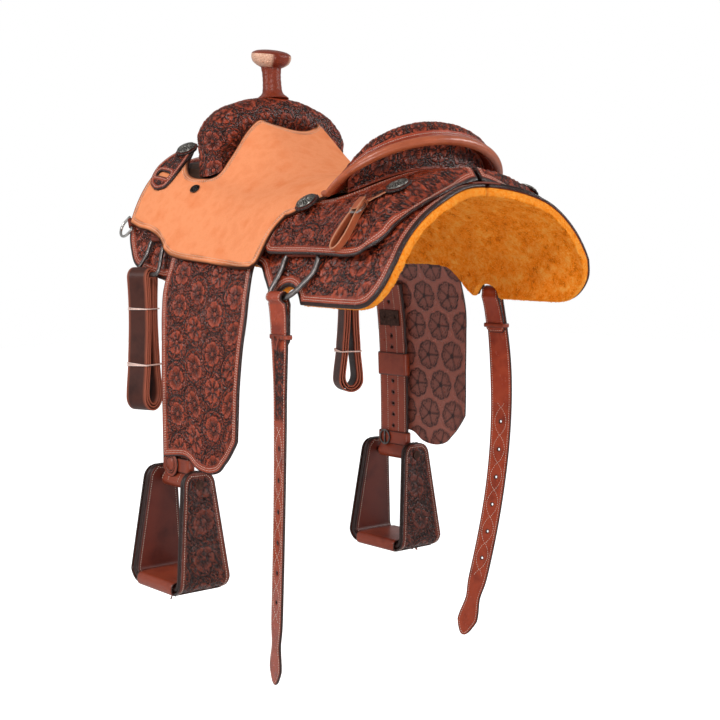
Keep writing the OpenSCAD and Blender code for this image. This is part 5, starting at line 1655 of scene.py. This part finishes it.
# The round tab's profile, with its two ring grooves.
TAB_PROFILE = [(0, 4.0), (10.6, 4.0), (11.2, 3.1), (12.3, 3.1), (12.9, 4.0), (14.4, 4.0), (15.0, 3.1),
               (16.1, 3.1), (16.7, 4.0), (20.6, 3.8), (21.7, 3.0), (22.0, 1.7), (21.6, 0.4), (20, 0), (0, 0)]


def tab_marks(r, h, a):
    """The tab's grooves are dark and its rim is cut."""
    groove = ((r > 10.8) & (r < 12.8)) | ((r > 14.8) & (r < 16.4))
    return r, h, {"tool": np.where(groove, 0.15, 1.0), "rim": np.where(r > 21.3, 1.0, 0.0)}


def leather_hoop(x, z, half_deep, half_wide, corner):
    """A closed path round the stirrup leathers, its join at their back."""
    loop = rounded_line([(-half_deep, half_wide), (-half_deep, -half_wide), (half_deep, -half_wide),
                         (half_deep, half_wide)], True, 90, corner)
    ring = np.stack([x + loop[:, 0], LEATHER_Y + loop[:, 1], np.full(90, z)], -1)
    return np.concatenate([ring, ring[:1]])


def make_stirrup_leathers(material):
    """The doubled leathers with their holes, the sleeve round them and the hobble strap at their foot."""
    bolt_x = float(leather_x(BOLT_Z))
    z = np.concatenate([np.linspace(HINGE_Z - 42, BOLT_Z + 26, 60), np.linspace(BOLT_Z + 24, BOLT_Z + 1, 14)])
    spread = 1.95 + 8.3 * (1 - ease((z - BOLT_Z) / 17))
    x = leather_x(z)
    down = np.stack([x - spread, np.full(len(z), LEATHER_Y), z], -1)
    a = np.radians(np.linspace(180, 360, 20))
    under = np.stack([bolt_x + TURN_R * np.cos(a), np.full(20, LEATHER_Y), BOLT_Z + TURN_R * np.sin(a)], -1)
    up = np.stack([x + spread, np.full(len(z), LEATHER_Y), z], -1)[::-1]
    path = np.concatenate([down, under, up])
    run = lengths(path)
    inner = len(down) + len(under)
    strap = Strap(path, (0, -1, 0), LEATHER_W / 2, 3.3, step=2.8, columns=29)
    for k in range(LEATHER_HOLES):
        place = BOLT_Z + 51 + LEATHER_HOLE_PITCH * k
        for rows, first in ((down, 0), (up, inner)):
            order = np.argsort(rows[:, 2])
            strap.punch(float(np.interp(place, rows[order, 2], run[first + order])), 0.0, HOLE_R)
    u = np.linspace(run[inner] + 32, run[-1] - 4, 160)
    lines = []
    for v in (-15.0, 15.0, -33.5, 33.5):
        lines.append(strap.line(u, np.full(len(u), v)))
        lines.append(strap.line(u - run[inner] + 4, np.full(len(u), v)))
    for side in ("near", "off"):
        strap.make(f"doubled_leather_{side}", material, f"fender_{side}",
                   replaces=(f"stirrup_leather_{side}",), slot="plain_leather", side=side, lines=lines,
                   edge_wide=1.3)
        # The sleeve, closed at its back.
        mid = BOLT_Z + 150 + 22
        lean = float(leather_x(mid + 20) - leather_x(mid - 20)) / 40
        ring = leather_hoop(float(leather_x(mid)), mid, LEATHER_T / 2 + 1.5 + 1.0,
                            LEATHER_W / 2 + 1.4 + 1.0, 3.0)
        Strap(ring, (lean, 0, 1), 22.0, 2.0, step=2.4, columns=17).make(
            f"sleeve_leather_{side}", material, f"sleeve_{side}", replaces=(f"leather_sleeve_{side}",),
            slot="plain_leather", side=side, edge_wide=0.9)
        # The hobble strap, ending in a round tab in front.
        mid = BOLT_Z + 28
        cx, deep = float(leather_x(mid - 10)), LEATHER_T / 2 + 0.8 + 1.75
        ring = leather_hoop(cx, mid, deep, LEATHER_W / 2 + 0.8 + 1.75, 4.0)
        Strap(ring, (0, 0, 1), 12.0, 3.2, step=2.4, columns=13).make(
            f"hobble_{side}", material, f"fender_{side}", replaces=(f"hobble_strap_{side}",),
            slot="plain_leather", side=side, edge_wide=1.0)
        tab = turned(TAB_PROFILE, 64, np.array([cx - deep - 1.5, LEATHER_Y + 10.0, mid]), turning(0, -90),
                     tab_marks)
        cast_piece(f"hobble_tab_{side}", tab, side, f"fender_{side}", material, (), "plain_leather")


def bell_line(grow):
    """The stirrup's outline from the top of its back branch, under the tread, to the top of the front one."""
    corner, top = 12 + grow, BOLT_Z + 22
    half_top, half_foot, foot = 49 + grow, 66 + grow, STIRRUP_FOOT - grow
    a = np.radians(np.linspace(180, 270, 16))
    turn = np.stack([-half_foot + corner + corner * np.cos(a), foot + corner + corner * np.sin(a)], -1)
    side = np.stack([np.linspace(-half_top, -half_foot, 40), np.linspace(top, foot + corner, 40)], -1)
    left = np.concatenate([side[:-1], turn])
    right = left[::-1] * [-1, 1]
    flat = np.stack([np.linspace(left[-1, 0], right[0, 0], 40)[1:-1], np.full(38, foot)], -1)
    return np.concatenate([left, flat, right])


def stirrup_half(z, inset):
    """Half the width of the stirrup's ribbon at a height, rounded off at its two upper ends."""
    top = BOLT_Z + 22
    h = np.interp(z, [STIRRUP_FOOT - 30, STIRRUP_FOOT + 8, top - 22, top], [47, 50, 31.5, 28.8]) - inset
    d = np.clip(top - z, 0, 20)
    return h - (20 - np.sqrt(np.maximum(0, 400 - (20 - d) ** 2))) * 0.9


def make_stirrups(tooled, smooth, lining):
    """The bell stirrups: carved cover, frame, inner lining and the wrapped tread with its laces."""
    bolt_x = float(leather_x(BOLT_Z))

    def ribbon(grow, thick, inset, step):
        """A strap round the stirrup, a distance outside its frame."""
        line = bell_line(grow)
        path = np.stack([np.full(len(line), bolt_x), LEATHER_Y + line[:, 0], line[:, 1]], -1)
        run = lengths(path)
        half = lambda u: stirrup_half(np.interp(u, run, path[:, 2]), inset)
        return Strap(path, (1, 0, 0), half, thick, step=step)

    for side in ("near", "off"):
        body = f"stirrup_{side}"
        carving = Carving(620, 110, 31 if side == "near" else 33, pitch=62, margin=10)
        ribbon(11.2, 3.6, 0, 2.5).make(
            f"stirrup_panel_{side}", tooled, body, replaces=(f"stirrup_cover_{side}",), slot="tooled_leather",
            rows=(6.4,), carving=carving, border=9.0, depth=2.4, edge_wide=2.6, side=side)
        ribbon(4.6, 8.6, 2.2, 4.4).make(
            f"stirrup_lining_{side}", lining, body, replaces=(f"stirrup_frame_{side}",), slot="dark_leather",
            edge_wide=2.0, side=side)
        # Inner faces: smooth leather with a flared, stitched rim.
        inner = ribbon(-1.5, 2.4, 4.0, 2.6)
        Strap(inner.path, (-1, 0, 0), inner.half, 2.4, step=3.6).make(
            f"stirrup_inside_{side}", lining, body, slot="dark_leather", rows=(5.0,), edge_wide=1.0,
            side=side)
        # The tread's wrap.
        z0, z1, w = STIRRUP_FOOT - 15.0, STIRRUP_FOOT + 5.2, 51.5
        mid = (z0 + z1) / 2
        loop = rounded_line([(0, z0), (-w, z0), (-w, z1), (w, z1), (w, z0), (0.0, z0)], False, 150, 8.5)
        bulge = np.where(loop[:, 1] > mid, 1.8 * np.cos(loop[:, 0] / w * math.pi / 2), 0.0)
        path = np.stack([bolt_x + loop[:, 0], np.full(150, LEATHER_Y), loop[:, 1] + bulge], -1)
        Strap(path, (0, 1, 0), 55.0, 2.4, step=2.6, columns=41).make(
            f"tread_wrap_{side}", smooth, body, replaces=(f"tread_cover_{side}",), slot="plain_leather",
            side=side, edge_wide=0.8)
        for k, (lean, reach) in enumerate(((-5.0, 15.0), (6.0, 12.0))):
            s = np.linspace(0, 1, 12)
            end = np.stack([bolt_x - 30 + lean * s, LEATHER_Y - 26 + 2.0 * k + 0 * s,
                            z0 - 0.6 - reach * s + 2 * s * s], -1)
            Strap(end, (0.3, 1, 0), 2.0, 1.8, step=1.5, columns=3).make(
                f"wrap_lace_{k}_{side}", smooth, body, slot="plain_leather", side=side, edge_wide=0.4)


# ---- Horn, conchos, keepers and tie straps ------------------------------------------------------
def make_horn(leather):
    """The wrapped neck and its broad layered cap."""
    turn = turning(-4, 0)
    base = np.array([0.0, FORK_Y, FORK_TOP])
    neck = smooth_profile([(0, -3.0), (27.5, -3.0), (27.0, 0.6), (22.5, 4.2), (18.8, 9.0), (17.4, 15),
                           (16.8, 24), (16.5, 33), (16.7, 42), (17.4, 49), (18.4, 54), (19.0, 58),
                           (18, 60.5), (0, 60.5)], 70)

    def wound(r, h, a):
        """The long strip wound up the neck shows as faint slanting laps."""
        lap = ((h - a / (2 * math.pi) * 9.0) % 9.0) / 9.0
        on_neck = ease((h - 6) / 4) * ease((56 - h) / 4)
        return r + on_neck * 0.5 * (1 - lap), h, {"tool": 1 - 0.35 * on_neck * (lap > 0.93)}

    shape = turned(neck, 72, base, turn, wound)
    add_piece(make_mesh("horn_neck", *shape), "saddle", leather, ("horn_wrap",), "plain_leather")
    tilt = turn @ turning(12, 0)
    cap = smooth_profile([(0, -5), (16.5, -5), (20, -4.4), (27, -1.0), (32.4, 3.0), (35.0, 7.0), (36.4, 11),
                          (36.8, 15.5), (35.6, 19.6), (31, 22.8), (24, 25.0), (12, 26.6), (0, 27.2)], 80)

    def shaped(r, h, a):
        """Long across the saddle; its raw edge shows at both sides, in thin layers."""
        ends = ease((np.abs(np.cos(a)) - 0.42) / 0.2)
        r = r * (1 - 0.05 * ease(r / 30) * (1 - np.abs(np.cos(a))))
        raw = ends * ease((19.0 - h) / 1.5) * ease((h + 4.6) / 1.5)
        layer = 0.5 + 0.5 * np.cos(h * 2 * math.pi / 4.6)
        return r, h, {"rim": raw, "tool": 1 - 0.5 * raw * (1 - layer), "mat": np.zeros(r.shape)}

    origin = base + turn @ np.array([0.0, 1.5, 60.0])
    shape = turned(cap, 80, origin, tilt, shaped)
    add_piece(make_mesh("horn_top", *shape), "saddle", leather, ("horn_cap",), "plain_leather")


# Where conchos sit: place along the saddle, angle from the crown, and height over the skirts.
CONCHO_SEATS = [[-314, 33, 22 + 4.5 + 0.8], [-146, 43.5, 28 + 4.1], [271, 29, 28 + 4.5 + 1.6 + 3.5]]


def make_conchos(silver, leather):
    """Fluted antique conchos on scalloped leather rosettes."""
    metal, hide = [], []
    face = smooth_profile([(0, 6.6), (1.6, 6.5), (3.2, 5.8), (3.8, 4.9), (5.0, 5.2), (8, 5.3), (11, 4.7),
                           (13, 3.7), (13.8, 2.9), (14.4, 3.2), (15.6, 3.5), (16.8, 2.8), (17.3, 1.6),
                           (17, 0.4), (15, 0), (0, 0)], 46)

    def fluted(r, h, a):
        band = ease((r - 4.2) / 1.0) * ease((13.6 - r) / 1.0) * (h > 1.0)
        flute = np.abs(np.cos(8 * a)) ** 0.7
        bead = ease((r - 14.2) / 0.7) * (h > 1.5)
        pearl = np.abs(np.cos(22 * a))
        tool = 1 - band * (1 - flute) * 1.1 - bead * (1 - pearl) * 0.8
        tool = tool - 0.8 * np.exp(-((r - 4.0) / 0.6) ** 2) - 0.7 * np.exp(-((r - 13.9) / 0.5) ** 2)
        tool = np.where(h > 0.8, np.clip(tool, 0, 1), 0.6)
        return r, h - band * 1.3 * (1 - flute) - bead * 0.6 * (1 - pearl), {"tool": tool}

    rosette = smooth_profile([(0, 3.2), (12, 3.2), (17.2, 3.1), (19.4, 2.7), (20.6, 1.6), (20.2, 0.5),
                              (19, 0), (0, 0)], 26)

    def scalloped(r, h, a):
        wave = np.abs(np.cos(8 * a)) ** 0.6
        edge = ease((r - 15) / 4)
        marks = {"rim": ease((r - 18.6) / 1.2), "tool": 1 - 0.5 * edge * (1 - wave)}
        return r * (1 + 0.075 * edge * (wave - 0.5)), h - 0.6 * edge * (1 - wave), marks

    for place in CONCHO_SEATS:
        origin, turn = on_surface(*place)
        hide.append(turned(rosette, 64, origin, turn, scalloped))
        metal.append(turned(face, 96, origin + turn @ np.array([0, 0, 3.25]), turn, fluted))
    for name, parts, material, stands_for, slot in (
            ("fluted_conchos", metal, silver, "conchos", "antique_silver"),
            ("scalloped_rosettes", hide, leather, "rosettes", "dark_leather")):
        add_piece(make_mesh(name, *gathered(both_casts(parts))), "saddle", material, (stands_for,), slot)


def make_screws(metal):
    """Dark ferrules that hold the seat to the bars."""
    face = smooth_profile([(0, 2.9), (2.2, 2.8), (3.4, 2.2), (4.4, 2.9), (5.6, 3.6), (7.2, 3.2), (8.4, 2.0),
                           (9.0, 0.4), (0, 0)], 40)

    def petalled(r, h, a):
        band = ease((r - 4.0) / 0.8) * ease((8.6 - r) / 0.6)
        wave = np.abs(np.cos(6 * a))
        return r, h - band * 0.8 * (1 - wave), {"tool": np.clip(1 - band * (1 - wave), 0, 1)}

    origin, turn = on_surface(171, 43.3, float(seat_under(43.3)) + 4.5 + 1.2)
    pair = gathered(both_casts([turned(face, 72, origin, turn, petalled)]))
    add_piece(make_mesh("seat_ferrules", *pair), "saddle", metal, ("seat_screws",), "antique_silver")


# A keeper's outline: [angle from the crown, half its width]; its middle, and its slot's angle.
KEEPER_ROWS = [[25, 11], [29.5, 17], [34, 26], [38.5, 32], [41.5, 33], [44.5, 31], [47.5, 24], [49.5, 12]]


KEEPER_Y, SLOT_T = 271.0, 43.0


def make_keepers(material):
    """Teardrop latigo keepers with a wide stitched slot and a heavy bound edge."""
    n, m = 96, 80
    at = spread_rows(KEEPER_ROWS, n, (4.0, 0.6))
    t, half = through(KEEPER_ROWS, at).T
    down = np.linspace(0, 1, n)
    half = half * np.sqrt(np.clip(np.minimum(down * 14 + 0.2, (1 - down) * 11 + 0.25), 0, 1))
    y = KEEPER_Y + np.linspace(-1, 1, m)[None, :] * half[:, None]
    t = np.repeat(t[:, None], m, 1)
    o = JOCKEY_T + 0.8
    place = lambda h: seat_point(y, t, o + h)
    cy, ct = (y[:-1, :-1] + y[1:, 1:]) / 2 - KEEPER_Y, (t[:-1, :-1] + t[1:, 1:]) / 2
    slot_hole = (np.abs(cy) / 18.5) ** 4 + (np.abs(ct - SLOT_T) / 1.25) ** 4 < 1
    carving = Carving(160, 90, 41, pitch=30, margin=10)
    far_slot = np.maximum(np.abs(y - KEEPER_Y) - 24, (np.abs(t - SLOT_T) - 2.6) * 5.0)
    plain = ease((far_slot + 1.0) / 2.0)
    for side in ("near", "off"):
        cut_sheet(f"latigo_keeper_{side}", place, 4.2, ~slot_hole, material, "saddle",
                  replaces=("latigo_keepers",) if side == "near" else (), slot="dark_leather", rows=(4.6,),
                  round_holes=True, carving=carving, depth=1.1, border=7.5, edge_wide=2.4, side=side,
                  plain=plain)


TIE_Y = -286.0


def make_tie_straps(material):
    """A doubled tie strap: a teardrop loop of strap on its edge, caught in its buckle."""
    def lay(t, dy, o):
        """A place on the rear jockey: t degrees from the crown, dy along from the strap's line, o over it."""
        y = TIE_Y + dy
        return on_arch(y + (t - 36) * 0.55, t, jockey_under(t, y) + o)

    a = np.linspace(0, 1, 120) * 2 * math.pi
    fall = 0.5 - 0.5 * np.cos(a)
    t = 43.0 + 22.5 * fall
    dy = -15.5 * np.sin(a) * (0.35 + 0.65 * fall ** 1.4)
    low, high = lay(t, dy, 5.0), lay(t, dy, 15.0)
    strap = Strap((low + high) / 2, high - low, 5.2, 3.2, step=1.8, columns=7)
    for side in ("near", "off"):
        strap.make(f"tie_loop_{side}", material, f"tie_strap_{side}", replaces=(f"tie_strap_{side}",),
                   slot="plain_leather", side=side, edge_wide=0.5)
        # A short strap holds the buckle from under the rear concho.
        hang = np.linspace(0, 1, 20)
        Strap(lay(35.5 + 7.0 * hang, -22.0 * (1 - hang), 6.2), (0.3, 1, 0), 5.6, 2.0, step=1.6,
              columns=9).make(
            f"tie_hanger_{side}", material, "saddle", slot="plain_leather", side=side, edge_wide=0.6)
        Strap(lay(np.linspace(43.0, 48.5, 24), np.zeros(24), 16.6), (0, 1, 0), 6.0, 2.4, step=1.6,
              columns=9).make(
            f"tie_end_{side}", material, f"tie_strap_{side}", slot="plain_leather", side=side, edge_wide=0.5)


# ---- More materials -------------------------------------------------------------------------
def fleece_material():
    """Dyed shearling: dense wool, lighter on its high tips as a painted highlight and deeper orange in its
    hollows as painted shade.
    """
    mat, tree = new_material("golden_shearling")
    coords = object_coords(tree)
    pile = mark(tree, "tool")
    clouds = noise(tree, coords, 26.0, 4.0, 0.6)
    locks = noise(tree, coords, 210.0, 5.0, 0.7, 0.6)    # locks of wool are about 5 mm
    fibre = noise(tree, coords, 1500.0, 2.0, 0.6)
    # The pile's height lightens the colour: painted highlight on the tips, painted shade in the hollows.
    shade = weighed(tree, (locks, 0.55), (pile, 0.35), (fibre, 0.15))
    colour = ramp(tree, shade, [(0.34, "#A84404"), (0.5, "#F88412"), (0.66, "#FFB654")])
    colour = mix_colour(tree, ramp(tree, clouds, [(0.35, 0.0), (0.7, 0.3)]), colour, linear("#DC6A10"))
    height = weighed(tree, (locks, 1.0), (fibre, 0.4))
    surface(tree, colour, 0.95, bump(tree, height, 0.0032, 1.0), IOR=1.4, Specular_IOR_Level=0.05,
            Sheen_Weight=0.5, Sheen_Roughness=0.5, Sheen_Tint=linear("#FF9A30"))
    return mat


def metal_material(name, bright, dull, rough, scratches, recess=None):
    """Worn metal: bare where it is handled, and dark in its hollows where it has been antiqued."""
    mat, tree = new_material(name)
    coords = object_coords(tree)
    wear = noise(tree, coords, 160.0, 4.0, 0.65)
    colour = mix_colour(tree, ramp(tree, wear, [(0.35, 0.0), (0.65, 1.0)]), linear(bright), linear(dull))
    if recess:
        tool = mark(tree, "tool")
        colour = mix_colour(tree, ramp(tree, tool, [(0.4, 1.0), (0.9, 0.0)]), colour, linear(recess))
    streaks = node(tree, "ShaderNodeMapping", None,
                   {"Vector": coords, "Scale": (1.0, 1.0, 9.0)}).outputs["Vector"]
    fine = noise(tree, streaks, 700.0, 3.0, 0.6)
    roughness = sums(tree, "ADD", rough, sums(tree, "MULTIPLY", wear, 0.22))
    surface(tree, colour, roughness, bump(tree, sums(tree, "ADD", fine, wear), 0.0001, scratches),
            Metallic=1.0)
    return mat


def plain_leather(name, face, edge, rough, grain_depth=0.00025, specular=0.4):
    """Smooth leather for pieces without marks of their own: oiled, with faint growth lines and grain."""
    mat, tree = new_material(name)
    coords = object_coords(tree)
    blotch = noise(tree, coords, 30.0, 4.0, 0.6)
    fine = noise(tree, coords, 900.0, 2.0, 0.6)
    grain = cells(tree, coords, 1300.0)
    colour = mix_colour(tree, ramp(tree, blotch, [(0.3, 0.0), (0.7, 1.0)]), linear(face[0]), linear(face[1]))
    colour = mix_colour(tree, 0.45, colour, ramp(tree, fine, [(0.3, 0.7), (0.65, 1.0)]), "MULTIPLY")
    colour = mix_colour(tree, ramp(tree, grain, [(0.3, 0.0), (0.8, 0.3)]), colour, linear(edge))
    height = weighed(tree, (grain, 1.0), (fine, 0.6))
    surface(tree, colour, sums(tree, "ADD", rough, sums(tree, "MULTIPLY", blotch, 0.15)),
            bump(tree, height, grain_depth, 0.7), IOR=1.5, Specular_IOR_Level=specular)
    return mat


def wood_material():
    """The tree's rawhide over pine, coloured dark brown as painted shade, since it only shows in shaded gaps;
    long grain shows through.
    """
    mat, tree = new_material("rawhide_pine_painted_shade")
    coords = object_coords(tree)
    along = node(tree, "ShaderNodeMapping", None,
                 {"Vector": coords, "Scale": (40.0, 3.0, 40.0)}).outputs["Vector"]
    bands = noise(tree, along, 3.0, 4.0, 0.6, 0.8)
    spots = noise(tree, coords, 500.0, 3.0, 0.6)
    # These dark browns are painted shade: the tree only shows in gaps that lie in shadow.
    colour = ramp(tree, bands, [(0.3, "#2E1C12"), (0.55, "#432A1A"), (0.75, "#553722")])
    colour = mix_colour(tree, 0.3, colour, ramp(tree, spots, [(0.3, 0.6), (0.7, 1.0)]), "MULTIPLY")
    surface(tree, colour, 0.6, bump(tree, bands, 0.0006, 0.6), IOR=1.5, Specular_IOR_Level=0.3)
    return mat


def thread_finish(name, light, dark_hex):
    """Waxed nylon thread: a tight two-ply twist, a little darker between the plies."""
    mat, tree = new_material(name)
    coords = object_coords(tree)
    twist = noise(tree, coords, 1800.0, 2.0, 0.5)
    colour = mix_colour(tree, ramp(tree, twist, [(0.35, 0.0), (0.65, 1.0)]), linear(dark_hex), linear(light))
    surface(tree, colour, 0.55, bump(tree, twist, 0.0003, 0.8), IOR=1.5)
    return mat


# ---- The finishes -------------------------------------------------------------------------
CHESTNUT = ("#8C321C", "#9E3F24", "#782815")
UMBER, CARVED_EDGE, SMOOTH_EDGE = "#1E0703", ("#200C08", "#2E1610"), ("#26100B", "#361B14")
tooled = leather_material("carved_skirting_leather", CHESTNUT, UMBER, CARVED_EDGE, 0.2, shine=0.36)
flesh_tooled = leather_material("carved_fender_leather", CHESTNUT, UMBER, CARVED_EDGE, 0.2,
                                flesh=("#9A5C4E", "#8A4E41", "#2C0F0A"), shine=0.36)
dark_tooled = leather_material("dark_carved_leather", ("#5A2012", "#662817", "#4C1A0F"), "#1A0603",
                               ("#1C0B07", "#28130E"), 0.2, shine=0.36)
smooth_leather = leather_material("smooth_harness_leather", ("#7E3320", "#8A3B25", "#702A19"), "#2C120B",
                                  SMOOTH_EDGE, 0.24, pores=0.25, marks=0.3, shine=0.35)
binding_leather = leather_material("rolled_binding_leather", ("#9A4A2C", "#A65434", "#8C4026"), "#3A180E",
                                   SMOOTH_EDGE, 0.18, pores=0.15, marks=0.25, shine=0.5)
dark_smooth = leather_material("dark_bridle_leather", ("#541F16", "#5E251A", "#4A1A12"), "#200C08",
                               ("#1E0D0A", "#2C1611"), 0.32, pores=0.3, marks=0.35, shine=0.36)
latigo = leather_material("latigo_leather", ("#3C1D17", "#46241C", "#321712"), "#1A0D0A",
                          ("#AE5F46", "#8E4936"), 0.36, pores=0.3, marks=0.3, shine=0.2)
roughout = leather_material("roughout_leather", ("#EA8A59", "#F19869", "#E98654"), "#8A4A2E",
                            ("#2C1813", "#3A211A"), 0.95, pores=0.9, marks=0.4, shine=0.06)
horn_leather = leather_material("layered_horn_leather", ("#742C1B", "#803420", "#682415"), "#8A4E36",
                                    ("#E2B59C", "#CFA085"), 0.24, pores=0.3, marks=0.3, shine=0.25)
light_tie = leather_material("light_strap_leather", ("#96492C", "#A15234", "#8A4026"), "#4A2214",
                             ("#C08464", "#A66C4E"), 0.32, pores=0.25, marks=0.3, shine=0.25)
wool = fleece_material()
steel = metal_material("blued_rigging_steel", "#7E7876", "#57514F", 0.24, 0.35)
dark_buckle_steel = metal_material("dark_brown_buckle_steel", "#5A4038", "#3A2924", 0.42, 0.4)
# Dark brown steel: on the pin buckles the dark colour is painted shade, so they sink into the shadow they sit
# in.
bright_steel = metal_material("polished_stainless", "#C9C7C4", "#A9A6A2", 0.14, 0.2)
silver = metal_material("antiqued_silver", "#A8A49E", "#77726C", 0.24, 0.3, "#12100E")
black_metal = metal_material("blackened_ferrule", "#3A3634", "#262322", 0.3, 0.3, "#0C0A0A")

# ---- The pieces, with the points along and across each grid ----------------------------------
make_skirts(tooled, 371, 167)
make_rear_jockeys(tooled, 201, 165)
make_seat(roughout, 8, 36, 40)
make_fenders(flesh_tooled, 301, 191)
make_roll(tooled, binding_leather, 421)
make_cantle_back(tooled, 281, 65)
make_swells(tooled, 271, 163)
make_fleece(wool, tuft_growth(wool), 201, 121)
make_dee("rear_dee", REAR_DEE, steel)
make_dee("front_dee", FRONT_DEE, steel)
make_billets(tooled, smooth_leather)
make_hanks(latigo, thread_finish("tie_string", "#F0DCD2", "#C99A8C"))
make_stirrup_leathers(smooth_leather)
make_stirrups(dark_tooled, smooth_leather, dark_smooth)
make_horn(horn_leather)
make_conchos(silver, dark_smooth)
make_screws(black_metal)
make_keepers(tooled)
make_tie_straps(light_tie)

# ---- Nodes of the frame that show as they are -------------------------------------------------
# The tree's dark brown is painted shade where it shows between the leathers.
tree_painted_shade = wood_material()
strap_finish = plain_leather("oiled_strap_leather", ("#6A2A1A", "#76301E"), "#3A1A10", 0.32, specular=0.18)
CARRIED = {"tree_bars": tree_painted_shade, "fork": tree_painted_shade, "cantle_board": tree_painted_shade,
           "ground_seat": plain_leather("ground_seat_leather", ("#5A3426", "#66402E"), "#3A2016", 0.6),
           "bar_loops": strap_finish, "skirt_tab": strap_finish, "rigging_straps": strap_finish,
           "horn_core": steel, "strap_clips": bright_steel}
for side in ("near", "off"):
    # The pin buckles' dark brown steel stands in for the shade around them.
    CARRIED.update({f"breast_dee_{side}": bright_steel, f"tie_buckle_{side}": bright_steel,
                    f"pin_buckle_{side}": dark_buckle_steel, f"hobble_buckle_{side}": steel,
                    f"stirrup_bolt_{side}": dark_buckle_steel})
for key, finish in CARRIED.items():
    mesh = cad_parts[key].data
    mesh.materials.clear()
    mesh.materials.append(finish)

make_stitches(stitch_tree(thread_finish("waxed_cream_thread", "#E9DFD2", "#B8A894")))


# ---- The stage ----------------------------------------------------------------------------
def camera_ray(tree):
    return node(tree, "ShaderNodeLightPath").outputs["Is Camera Ray"]


def pale_stage(name, shade):
    """A backdrop that the camera sees as white, darkened only where the saddle shades it."""
    mat, tree = new_material(name)
    seen = camera_ray(tree)
    plain = node(tree, "ShaderNodeBsdfDiffuse", None, {"Color": linear(shade)}).outputs[0]
    glow = node(tree, "ShaderNodeEmission", None, {"Color": (1, 1, 1, 1), "Strength": 0.85}).outputs[0]
    both = node(tree, "ShaderNodeAddShader", None, {0: plain, 1: glow}).outputs[0]
    chosen = node(tree, "ShaderNodeMixShader", None, {0: seen, 1: plain, 2: both}).outputs[0]
    node(tree, "ShaderNodeOutputMaterial", None, {"Surface": chosen})
    return mat


make_camera()
bpy.ops.mesh.primitive_plane_add(size=14, location=(0, 0, cad_box[0][2] - 0.02))
floor = bpy.context.object
floor.name = "floor"
floor.data.materials.append(pale_stage("pale_floor", "#E6E6E6"))
world = bpy.data.worlds.new("studio")
bpy.context.scene.world = world
world.use_nodes = True
tree = world.node_tree
tree.nodes.clear()
# The camera sees a white world; the saddle is lit by a dimmer one.
strength = sums(tree, "ADD", 0.42, sums(tree, "MULTIPLY", camera_ray(tree), 0.58))
background = node(tree, "ShaderNodeBackground", None, {"Color": (1, 1, 1, 1), "Strength": strength})
tree.links.new(background.outputs[0], node(tree, "ShaderNodeOutputWorld").inputs[0])
soft_light("key", (-2.3, -2.2, 2.3), (0, 0, -0.2), 0.5, 70)
soft_light("fill", (2.4, -1.9, 0.9), (0, 0, -0.3), 0.8, 34)
soft_light("low", (-0.9, -2.2, -0.75), (0.1, -0.1, 0.0), 0.5, 26)
soft_light("front", (-2.6, 1.2, 1.0), (0, 0, -0.2), 0.55, 30)
bpy.context.scene.view_settings.view_transform = "Standard"
